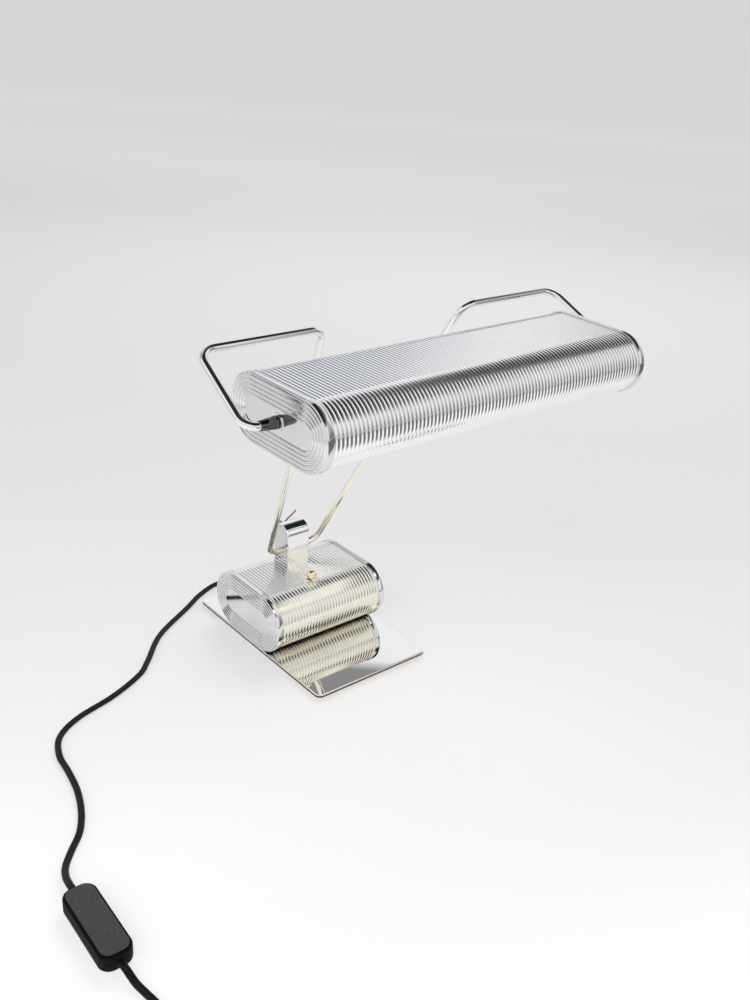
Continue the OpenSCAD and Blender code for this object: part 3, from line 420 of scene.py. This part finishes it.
def smooth_route(points, steps):
    """A curve through all points that never lies below the cord's half thickness."""
    pts = [Vector(p) for p in points]
    out = []
    for i in range(len(pts) - 1):
        a, b, c, d = pts[max(i - 1, 0)], pts[i], pts[i + 1], pts[min(i + 2, len(pts) - 1)]
        for k in range(steps):
            t = k / steps
            square, cube = 2 * a - 5 * b + 4 * c - d, 3 * b - a - 3 * c + d
            out.append(0.5 * (2 * b + (c - a) * t + square * t * t + cube * t ** 3))
    out.append(pts[-1])
    return [Vector((q.x, q.y, max(q.z, CORD_T / 2))) for q in out]

def coil_points():
    """A spiral inwards on the floor, and outwards again in a second layer, with a straight start and end."""
    total = COIL_TURNS * COIL_STEPS
    out = []
    for i in range(total + 1):
        from_middle = i - total / 2
        climb = min(max(0.5 + from_middle / (COIL_STEPS / 2), 0.0), 1.0)
        r = COIL_R + (CORD_W + COIL_GAP) * abs(from_middle) / COIL_STEPS
        a = math.radians(COIL_START + 360.0 * i / COIL_STEPS)
        z = CORD_T / 2 + (CORD_T + COIL_LIFT) * climb * climb * (3 - 2 * climb)
        out.append(Vector((COIL_AT.x + r * math.cos(a), COIL_AT.y + r * math.sin(a), z)))
    first = out[0] + 2 * CORD_W * (out[0] - out[1]).normalized()
    last = out[-1] + 2 * CORD_W * (out[-1] - out[-2]).normalized()
    return [first] + out + [last]

coil_line = coil_points()
coil_end = coil_line[-1]
tail_dir = coil_end - coil_line[-2]
tail_dir = Vector((tail_dir.x, tail_dir.y, 0.0)).normalized()
plug_from = Vector((coil_end.x, coil_end.y, 0.0)) + PLUG_TAIL * tail_dir + Vector((0, 0, PLUG_H / 2))
half_way = coil_end + PLUG_TAIL / 2 * tail_dir + Vector((0, 0, (plug_from.z - coil_end.z) / 2))

ROUTE_STEPS, TAIL_STEPS, BOX_STEPS, CORE_STEPS = 8, 6, 8, 9
cord_path = smooth_route([GLAND_OUT] + RUN + [BOX_FROM], ROUTE_STEPS)
cord_path += [BOX_FROM + BOX_LEN * k / BOX_STEPS * BOX_DIR for k in range(1, BOX_STEPS)]
cord_path += smooth_route([BOX_FROM + BOX_LEN * BOX_DIR] + LEAD + [coil_line[0]], ROUTE_STEPS)
cord_path += coil_line[1:]
cord_path += smooth_route([coil_end, half_way, plug_from], TAIL_STEPS)[1:]

def twin_section(w, t):
    """Two round cores side by side, joined by a web."""
    r, half = t / 2, (w - t) / 2
    a = 180 - math.degrees(math.acos(half / r))
    return arc(half, 0.0, r, -a, a, CORE_STEPS)[:-1] + arc(-half, 0.0, r, 180 - a, 180 + a, CORE_STEPS)[:-1]

cord = piece("flat_twin_cord", *swept(cord_path, twin_section(CORD_W, CORD_T), side="level"), cord_rubber,
             "base", "cord_black", ["cord_run", "cord_lead", "cord_coil", "cord_tail"], smooth=60)

RELIEF_LEN, RELIEF_GROOVE, RELIEF_SIDES, RELIEF_STEPS, GROOVE_EVERY, GROOVE_FIRST = 30.0, 0.35, 24, 16, 4, 2
RELIEF_HALF_W, RELIEF_HALF_H = (4.6, 3.3), (4.4, 2.1)
RELIEF_FLANGE = ((75.95, 5.2), (76.0, 5.5), (78.6, 5.5))

def relief():
    """Tapered sleeve round the cord where it leaves the casing, with a flange and shallow grooves."""
    stations = [Vector((0, y, GLAND_OUT.z)) for y, r in RELIEF_FLANGE]
    sections = [round_section(r, RELIEF_SIDES) for y, r in RELIEF_FLANGE]
    path = smooth_route([GLAND_OUT] + RUN[:4], RELIEF_STEPS)
    run, last = 0.0, path[0]
    for i, p in enumerate(path):
        run += (p - last).length
        last = p
        if run > RELIEF_LEN:
            break
        groove = RELIEF_GROOVE if i % GROOVE_EVERY == GROOVE_FIRST else 0.0
        a, b = (start + (end - start) * run / RELIEF_LEN - groove for start, end in (RELIEF_HALF_W, RELIEF_HALF_H))
        stations.append(p + Vector((0, HAIR, 0)))
        sections.append([(a * x, b * y) for x, y in round_section(1.0, RELIEF_SIDES)])
    return swept(stations, sections, side="level")

piece("strain_relief", *relief(), cord_rubber, "base", "cord_black", ["cord_gland"], smooth=50)

LOWER_HALF = ((3.2, 0.0), (2.2, 0.0), (0.9, 0.25), (0.25, 0.9), (0.0, 2.0), (0.0, 6.6), (0.2, 6.85), (0.5, 6.95))
UPPER_HALF = ((0.5, 7.0), (0.2, 7.15), (0.0, 7.4), (0.0, 11.4), (0.25, 12.3), (0.8, 12.75), (1.65, 12.8),
              (1.8, 12.95), (1.85, 13.5), (2.1, 13.85), (2.6, 14.0), (3.4, 14.0))

def box_half(profile):
    """profile: (inset, height) from the bottom up."""
    turn = Matrix.Rotation(BOX_TURN, 3, "Z")
    middle = BOX_FROM + BOX_LEN / 2 * BOX_DIR
    middle.z = 0.0
    return loft([[turn @ Vector((x, y, z)) + middle
                  for x, y in rounded_outline(BOX_LEN, BOX_W, BOX_R, inset, CORNER_STEPS)] for inset, z in profile])

box_low = piece("box_lower_half", *box_half(LOWER_HALF), box_plastic, "base", "box_plastic", ["box_lower"], smooth=35)
# The top panel's up-facing faces take the lighter plastic, partly painted light from above.
box_high = piece("box_upper_half", *box_half(UPPER_HALF), box_plastic, "base", "box_plastic", ["box_upper"], smooth=35,
                 extra=[panel_plastic_and_painted_light],
                 material_of=lambda p: 1 if p.normal.z > 0.6 and p.center.z > PANEL_Z * MM else 0)

PLUG_STATIONS = ((0.0, 12.6, 8.6), (0.4, 13.6, 9.4), (4.0, 14.4, 10.4), (9.0, 21.0, 12.4), (14.0, 30.0, 13.4),
                 (18.0, 33.6, 13.6), (26.0, 34.8, 13.6), (33.0, 35.0, 13.6), (35.4, 34.4, 13.2), (36.0, 33.0, 12.0))

def plug_mesh():
    """Stations of (distance, width, height) with round corners, along the cord's last direction."""
    turn = Matrix.Rotation(math.atan2(tail_dir.y, tail_dir.x), 3, "Z")
    foot = Vector((plug_from.x, plug_from.y, 0.0))
    rings = []
    for along, w, h in PLUG_STATIONS:
        outline = rounded_outline(w, h, min(h * PLUG_CORNER_SHARE, PLUG_CORNER), 0.0, PLUG_CORNER_STEPS)
        rings.append([turn @ Vector((along, y, z + PLUG_H / 2)) + foot for y, z in outline])
    return loft(rings)

plug = piece("plug_shell", *plug_mesh(), box_plastic, "base", "box_plastic", ["plug_body"], smooth=45)

# Ribbed casings and their end cups.

RIB_SLOPE, RIB_BEND, RIB_HOLLOW, CREST_SHARE = math.radians(50), 0.34, 0.2, 0.74
CREST_STEPS, HOLLOW_STEPS = 4, 2

def rib_profile(length, count, crest):
    """(x, radius) along a casing: flat-topped ribs with steep flanks, round corners and narrow valleys."""
    pitch = length / count
    half_crest = (pitch - 2 * RIB_H / math.tan(RIB_SLOPE)) / 2 * CREST_SHARE
    valley = crest - RIB_H
    half = []
    for k in range(CREST_STEPS + 1):
        a = RIB_SLOPE * k / CREST_STEPS
        half.append((half_crest + RIB_BEND * math.sin(a), crest - RIB_BEND * (1 - math.cos(a))))
    top_x, top_r = half[-1]
    low_r = valley + RIB_HOLLOW * (1 - math.cos(RIB_SLOPE))
    low_x = top_x + (top_r - low_r) / math.tan(RIB_SLOPE)
    for k in range(HOLLOW_STEPS + 1):
        a = RIB_SLOPE * (1 - k / HOLLOW_STEPS)
        half.append((low_x + RIB_HOLLOW * (math.sin(RIB_SLOPE) - math.sin(a)), valley + RIB_HOLLOW * (1 - math.cos(a))))
    shape = [(-x, r) for x, r in reversed(half)] + half
    middles = [-length / 2 + pitch * (i + 0.5) for i in range(count)]
    return [(middle + x, r) for middle in middles for x, r in shape]

def ribbed(length, count, d, h, centre, closed):
    """Section along X, ribbed outside and plain inside, swept round a stadium that may be open below."""
    crest = h / 2 - CAP_WALL - PUSH
    inner = crest - RIB_H - SHEET_T
    half = (d - h) / 2
    outer = rib_profile(length - 2 * CAP_WALL, count, crest)
    section = outer + [(outer[-1][0], inner), (outer[0][0], inner)]
    rings = []
    for side, start in ((1, -90), (-1, 90)):
        angles = [math.radians(start + 180 * k / CASING_STEPS) for k in range(CASING_STEPS + 1)]
        near = side * (half - FLAT_EDGE)
        for y, a in [(near, angles[0])] + [(side * half, a) for a in angles] + [(near, angles[-1])]:
            rings.append([centre + Vector((x, y + r * math.cos(a), r * math.sin(a))) for x, r in section])
    return loft(rings, loop=closed)

BASE_CENTRE = Vector((0, BASE_BACK, CASING_Z))
piece("shade_ribs", *ribbed(SHADE_LEN, SHADE_RIBS, SHADE_D, SHADE_H, PIVOT, False), chrome_shade,
      "shade", "ribbed_chrome", ["shade_shell"], smooth=50)
piece("base_ribs", *ribbed(BASE_LEN, BASE_RIBS, BASE_D, BASE_H, BASE_CENTRE, True), chrome_base,
      "base", "ribbed_chrome", ["base_shell"], smooth=50)

CUP_RIM = [(CAP_WALL, -CAP_WALL), (CAP_WALL, -SKIRT + 0.2), (CAP_WALL - 0.2, -SKIRT), (0.25, -SKIRT),
           (0.0, -SKIRT + 0.3), (0.0, -1.0), (0.08, -0.6), (0.3, -0.22), (0.7, 0.0)]
RIDGE_SHARES = ((0.0, 0.0), (0.1, 0.5), (0.25, 0.82), (0.5, 1.0), (0.75, 0.82), (0.9, 0.5), (1.0, 0.0))
GROOVE_HALF_W, GROOVE_DEPTH = 0.2, 0.32

def end_profile():
    """(inset, outward) from the inside of the cup, round its rim and over the ridges to the plain field."""
    out = list(CUP_RIM)
    for i in range(RIDGES):
        start = RIDGE_PITCH * (i + 0.5)
        end = start + RIDGE_W
        out += [(start - 2 * GROOVE_HALF_W, 0.0), (start - GROOVE_HALF_W, -GROOVE_DEPTH)]
        out += [(start + RIDGE_W * share, RIDGE_H * rise) for share, rise in RIDGE_SHARES]
        out += [(end + GROOVE_HALF_W, -GROOVE_DEPTH), (end + 2 * GROOVE_HALF_W, 0.0), (end + 3 * GROOVE_HALF_W, 0.0)]
    return out

def end_cup(d, h, centre, side):
    return loft([[centre + Vector((side * out, y, z)) for y, z in stadium_ring(d, h, inset)]
                 for inset, out in end_profile()])

for name, side in (("left", -1), ("right", 1)):
    shade_end = PIVOT + Vector((side * SHADE_LEN / 2, 0, 0))
    base_end = BASE_CENTRE + Vector((side * BASE_LEN / 2, 0, 0))
    piece("shade_end_" + name, *end_cup(SHADE_D, SHADE_H, shade_end, side), chrome_cap,
          "shade", "cap_chrome", ["shade_cap_" + name], smooth=55)
    piece("base_end_" + name, *end_cup(BASE_D, BASE_H, base_end, side), chrome_cap,
          "base", "cap_chrome", ["base_cap_" + name], smooth=55)

# Plate, strap, tube frame and small pieces.

PLATE_RIM = ((1.4, FELT_T), (0.9, FELT_T), (0.25, FELT_T + 0.15), (0.0, FELT_T + 0.5), (0.0, FELT_T + 0.9),
             (0.0, PLATE_TOP - 1.2), (0.0, PLATE_TOP - 0.9), (0.12, PLATE_TOP - 0.5), (0.4, PLATE_TOP - 0.2),
             (0.75, PLATE_TOP - 0.04), (1.0, PLATE_TOP), (1.6, PLATE_TOP))
STEEP, LEVEL = 0.3, 0.95    # below the first, a face is the plate's edge, and from the second on its mirror

def plate_mesh():
    return loft([[(x, y + PLATE_BACK, z) for x, y in rounded_outline(PLATE_W, PLATE_D, PLATE_R, inset, CORNER_STEPS)]
                 for inset, z in PLATE_RIM])

def plate_part(poly):
    """0 for the mirror and the underside, 1 for the edge, 2 for the bevel between edge and mirror, which carries a
    painted highlight.
    """
    rise = poly.normal.z
    if abs(rise) < STEEP:
        return 1
    return 2 if STEEP <= rise < LEVEL else 0

piece("mirror_plate", *plate_mesh(), chrome_plate, "base", "plate_chrome", ["base_plate"], smooth=35,
      extra=[plate_edge, plate_bevel_highlight], material_of=plate_part)

def strap_mesh():
    """A flat bar from one foot up, over a half round at the hinge and down to the other foot."""
    front, back = HINGE.y - STRAP_R, HINGE.y + STRAP_R
    low, top, bow_steps = WEIGHT_TOP + STRAP_T / 2, CASING_TOP + STRAP_RISE, 24
    up = [(0, front - STRAP_FOOT, low), (0, front, low), (0, front, top - HAIR)]
    down = [(0, back, top - HAIR), (0, back, low), (0, back + STRAP_FOOT, low)]
    path = bent_path(up, [STRAP_CORNER], STRAP_CORNER_STEPS)
    for k in range(1, bow_steps):
        a = math.pi * k / bow_steps
        path.append(Vector((0, HINGE.y - STRAP_R * math.cos(a), top + STRAP_R * math.sin(a))))
    path += bent_path(down, [STRAP_CORNER], STRAP_CORNER_STEPS)
    side, face, bevel = STRAP_W / 2, STRAP_T / 2, STRAP_EDGE
    cut = bevel * STRAP_EDGE_SHARE
    corner = [(side - STRAP_FACE_FLAT, -face), (side - bevel, -face), (side - cut, -face + cut), (side, -face + bevel),
              (side, -face + STRAP_EDGE_FLAT)]
    flipped = [(a, -c) for a, c in reversed(corner)]
    section = corner + flipped + [(-a, -c) for a, c in corner] + [(-a, c) for a, c in reversed(corner)]
    return swept(path, section, side=(1, 0, 0))

piece("bent_strap", *strap_mesh(), chrome_strap, "base", "strap_chrome", ["strap"], smooth=35)

def frame_mesh():
    """One tube from the left pivot over the hinge to the right pivot."""
    left = [PIVOT - Vector((PIN_START + TUBE_IN_PIN, 0, 0)), PIVOT - Vector((PIVOT_X, 0, 0)),
            TOP - Vector((OUTER_X, 0, 0)), TOP - Vector((INNER_X, 0, 0)), HINGE - Vector((LOW_X, 0, 0))]
    right = [Vector((-p.x, p.y, p.z)) for p in reversed(left)]
    bends = [PIVOT_BEND] + 6 * [TUBE_BEND] + [PIVOT_BEND]
    return swept(bent_path(left + right, bends, TUBE_BEND_STEPS), round_section(TUBE / 2, TUBE_SIDES))

piece("bent_tube", *frame_mesh(), chrome_tube, "frame", "tube_chrome",
      ["frame_tube_left", "frame_tube_right", "hinge_bar"], smooth=50)

FERRULE = ((2.45, -5.6), (2.5, -5.4), (2.5, 0.0), (4.5, 0.0), (4.9, 0.3), (4.85, 1.6), (4.35, 2.0), (4.3, 2.4),
           (4.6, 2.8), (3.85, 13.3), (3.6, 13.9), (3.2, 14.0))

def ferrules():
    parts = []
    for side in (-1, 1):
        at_cap = Matrix.Translation(PIVOT + Vector((side * PIN_START, 0, 0)))
        parts.append(lathe(FERRULE, TURNED_SIDES, at_cap @ Matrix.Rotation(math.radians(90 * side), 4, "Y")))
    return join_parts(parts)

piece("pivot_ferrules", *ferrules(), chrome_painted_dark, "frame", "tube_chrome", ["pivot_pins"], smooth=35)

def toggle():
    """A small foot, a thin rod and a ball that begins where the rod's side meets it."""
    foot = ball_profile(SWITCH_FOOT, 0.0, range(6, 146, 14))
    ball = ball_profile(SWITCH_BALL, SWITCH_REACH, range(14, 180, 6))
    rod_end = ball_profile(SWITCH_BALL, SWITCH_REACH, [13])[0][1]
    rod = [(SWITCH_ROD, SWITCH_ROD_FROM), (SWITCH_ROD, rod_end)]
    profile = foot + rod + ball + [(SWITCH_TIP, SWITCH_REACH + SWITCH_BALL)]
    return lathe(profile, TURNED_SIDES, Matrix.Translation(SWITCH_AT) @ Matrix.Rotation(SWITCH_TILT, 4, "X"))

piece("switch_toggle", *toggle(), brass_ball, "switch", "ball_brass", ["switch_lever"], smooth=50)

def lever():
    """A thin rod with a small knob at its end."""
    knob = ball_profile(CLAMP_KNOB, CLAMP_REACH, range(60, 180, 12))
    rod = [(CLAMP_ROD, 0.0), (CLAMP_ROD, CLAMP_REACH - CLAMP_KNOB_BACK)]
    turn = Matrix.Rotation(math.radians(90) - CLAMP_TILT, 4, "Y")
    return lathe(rod + knob + [(CLAMP_TIP, CLAMP_REACH + CLAMP_KNOB)], ROD_SIDES, Matrix.Translation(CLAMP_AT) @ turn)

piece("clamp_rod", *lever(), lever_chrome_painted_reflection, "clamp", "tube_chrome", ["clamp_lever"], smooth=50)

# Nodes that are carried over from the CAD.

CARRIED = {
    "foot_felt": felt, "plate_screws": steel, "base_weight": iron, "strap_screws": steel, "hinge_block": block_satin,
    "clamp_nut": steel, "clamp_washer": steel, "clamp_screw": chrome_tube, "switch_body": dark_plastic,
    "switch_nut": chrome_tube, "terminal_block": ivory_plastic, "pivot_rings": steel, "pivot_bushes": chrome_cap,
    "reflector": white_paint, "lampholder_left": ivory_plastic, "lampholder_right": ivory_plastic,
    "holder_screws": steel, "lamp_glass": opal_glass, "lamp_caps": steel, "box_screws": steel,
    "box_core": ivory_plastic, "plug_pins": steel,
}
for node, material in CARRIED.items():
    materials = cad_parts[node].data.materials
    materials.clear()
    materials.append(material)

# Floor, cards, world and lights. Their lengths are in metres.

FLOOR_HALF, FLOOR_Z = 40.0, -0.0003
# Levels of the painted light that the floor glows with, by distance along the view.
FLOOR_PAINTED_LIGHT = ((-6.0, 0.44), (-3.0, 0.47), (-1.3, 0.66), (-0.6, 0.69), (-0.42, 0.66), (-0.33, 0.605), (-0.2, 0.51),
               (-0.05, 0.455), (0.12, 0.43), (0.26, 0.39), (0.6, 0.35), (0.81, 0.343), (2.1, 0.36), (3.0, 0.46),
               (4.8, 0.475), (5.4, 0.451))

def floor_material():
    """White paper that is lit from above, with a painted light glowing from it that changes with the distance along the
    view: (metres, level).
    """
    mat, nt, out = empty_material("floor")
    first, last = FLOOR_PAINTED_LIGHT[0][0], FLOOR_PAINTED_LIGHT[-1][0]
    away = span(nt, axes(nt, coords(nt, turn=VIEW_YAW))["Y"], first, last)
    painted_light = ramp(nt, away, [((d - first) / (last - first), (v, v, v)) for d, v in FLOOR_PAINTED_LIGHT])
    glow = nt.nodes.new("ShaderNodeEmission")
    nt.links.new(painted_light, glow.inputs["Color"])
    diffuse = nt.nodes.new("ShaderNodeBsdfDiffuse")
    diffuse.inputs["Color"].default_value = (0.5, 0.5, 0.5, 1.0)
    add = nt.nodes.new("ShaderNodeAddShader")
    nt.links.new(glow.outputs[0], add.inputs[0])
    nt.links.new(diffuse.outputs[0], add.inputs[1])
    nt.links.new(add.outputs[0], out.inputs["Surface"])
    return mat

def stage_quad(name, centre, half, material):
    x, y, z = centre
    w, d = half
    mesh = bpy.data.meshes.new(name)
    mesh.from_pydata([(x - w, y - d, z), (x + w, y - d, z), (x + w, y + d, z), (x - w, y + d, z)], [], [(0, 1, 2, 3)])
    mesh.materials.append(material)
    obj = bpy.data.objects.new(name, mesh)
    scene.collection.objects.link(obj)
    return obj

def soft_card(name, centre, half, colour, edges):
    """Card with soft edges that only reflections see. edges: shares of its width and depth that fade."""
    mat, nt, out = empty_material(name)
    tex = nt.nodes.new("ShaderNodeTexCoord")
    across = axes(nt, tex.outputs["Generated"])
    masks = [span(nt, across[axis], lo, hi, kind="SMOOTHSTEP")
             for axis, edge in zip(("X", "Y"), edges) for lo, hi in ((0.0, edge), (1.0, 1.0 - edge))]
    glow = nt.nodes.new("ShaderNodeEmission")
    glow.inputs["Color"].default_value = (*colour, 1)
    clear = nt.nodes.new("ShaderNodeBsdfTransparent")
    blend = nt.nodes.new("ShaderNodeMixShader")
    nt.links.new(product(nt, *masks), blend.inputs["Fac"])
    nt.links.new(clear.outputs[0], blend.inputs[1])
    nt.links.new(glow.outputs[0], blend.inputs[2])
    nt.links.new(blend.outputs[0], out.inputs["Surface"])
    card = stage_quad(name, centre, half, mat)
    card.visible_camera = card.visible_diffuse = card.visible_shadow = card.visible_transmission = False

stage_quad("floor", (0, 0, FLOOR_Z), (FLOOR_HALF, FLOOR_HALF), floor_material())
soft_card("grey_card_front", (4.9, -4.5, 0.002), (5.15, 4.05), (0.17, 0.17, 0.175), (0.03, 0.032))
soft_card("warm_card_over_base", (0.012, -0.042, 0.1), (0.062, 0.036), (0.95, 0.92, 0.82), (0.25, 0.2))

COOL = 1.005

def grey(*stops):
    """(elevation, level) stops as nearly neutral colours."""
    return [(e, (v, v, v * COOL)) for e, v in stops]

# The sky's tones by elevation in degrees, one list for each part of the compass. The plate mirrors the step at
# 34 degrees, and the ribs and tubes mirror the dark parts higher up.
NADIR = [(-90, (0.6, 0.6, 0.6))]
BELOW = NADIR + grey((-3, 0.66), (-1, 0.62), (0.5, 0.62), (2.5, 0.85), (34.2, 0.96), (34.6, 0.28))
SIDE = NADIR + grey((-3, 0.68), (0, 0.62), (3, 0.8))
DARK = BELOW + [(38, (0.3, 0.31, 0.3)), (42, (0.02, 0.028, 0.022)), (62, (0.01, 0.022, 0.015)),
                (80, (0.02, 0.03, 0.024)), (90, (0.06, 0.07, 0.07))]
DIM = BELOW + grey((38, 0.4), (42, 0.12), (62, 0.1)) + [(90, (0.1, 0.11, 0.11))]
PALE = BELOW + grey((36.8, 0.26), (38.5, 0.6), (42, 0.72), (60, 0.78)) + [(90, (0.3, 0.31, 0.33))]
BLUE = BELOW + [(38, (0.34, 0.36, 0.4)), (42, (0.26, 0.28, 0.34)), (60, (0.18, 0.19, 0.24)), (90, (0.1, 0.11, 0.12))]
BESIDE = SIDE + grey((34, 0.93), (48, 0.9), (52, 0.03), (80, 0.03)) + [(90, (0.1, 0.11, 0.12))]
BESIDE_FAR = SIDE + grey((20, 0.85)) + [(27, (0.26, 0.28, 0.34)), (45, (0.2, 0.21, 0.26)), (50, (0.05, 0.05, 0.06)),
                                        (90, (0.1, 0.11, 0.12))]
AHEAD = NADIR + grey((-2, 0.16), (0, 0.17), (8, 0.27), (16, 0.46), (26, 0.58), (33, 0.48), (38, 0.26)) + [
    (42, (0.1, 0.11, 0.105)), (90, (0.1, 0.11, 0.11))]
NAVY, PAPER = (0.02, 0.025, 0.06), (0.665, 0.665, 0.665)

def sky_share(elevation):
    """The height of an elevation in degrees, as a share of the way from straight down to straight up."""
    return (math.sin(math.radians(elevation)) + 1) / 2

def make_world():
    world = bpy.data.worlds.new("studio")
    scene.world = world
    world.use_nodes = True
    nt = world.node_tree
    nt.nodes.clear()
    tex = nt.nodes.new("ShaderNodeTexCoord")
    x, y, z = axes(nt, tex.outputs["Generated"])
    height = span(nt, z, -1.0, 1.0)

    def tones(stops):
        return ramp(nt, height, [(sky_share(e), colour) for e, colour in stops])

    behind, far, front = span(nt, y, 0.44, 0.5), span(nt, y, 0.65, 0.72), span(nt, y, -0.2, -0.35)
    left, right, far_right = span(nt, x, 0.12, -0.12), span(nt, x, 0.545, 0.6), span(nt, x, 0.58, 0.68)
    nearer = mix(nt, far_right, tones(DARK), tones(DIM))
    sky = mix(nt, behind, nearer, mix(nt, far, tones(PALE), tones(BLUE)))
    sky = mix(nt, product(nt, right, front), sky, tones(AHEAD))
    sky = mix(nt, left, sky, mix(nt, far, tones(BESIDE), tones(BESIDE_FAR)))
    strip = product(nt, span(nt, x, 0.512, 0.518), span(nt, x, 0.544, 0.538), span(nt, y, -0.5, -0.6),
                    span(nt, height, sky_share(0.5), sky_share(1.5)), span(nt, height, sky_share(9.5), sky_share(8.0)))
    sky = mix(nt, strip, sky, tones([(-90, NAVY), (90, NAVY)]))
    seen = nt.nodes.new("ShaderNodeLightPath").outputs["Is Camera Ray"]
    back = nt.nodes.new("ShaderNodeBackground")
    nt.links.new(mix(nt, seen, sky, tones([(-90, PAPER), (90, PAPER)])), back.inputs["Color"])
    out = nt.nodes.new("ShaderNodeOutputWorld")
    nt.links.new(back.outputs[0], out.inputs["Surface"])

make_world()

LIGHT_AIM = Vector((0.0, 0.0, 0.1))

def softbox(name, place, size, power, colour):
    """Area light that aims at the lamp's base and isn't mirrored."""
    data = bpy.data.lights.new(name, "AREA")
    data.shape = "RECTANGLE"
    data.size, data.size_y = size
    data.energy = power
    data.color = colour
    obj = bpy.data.objects.new(name, data)
    scene.collection.objects.link(obj)
    obj.location = place
    obj.rotation_mode = "QUATERNION"
    obj.rotation_quaternion = (LIGHT_AIM - Vector(place)).to_track_quat("-Z", "Y")
    obj.visible_glossy = False

softbox("key_softbox", (1.3, 0.9, 1.9), (1.6, 1.2), 22.0, (1, 1, 1))
softbox("fill_softbox", (-1.4, -0.8, 1.5), (1.2, 1.2), 7.0, (1.0, 0.98, 0.95))
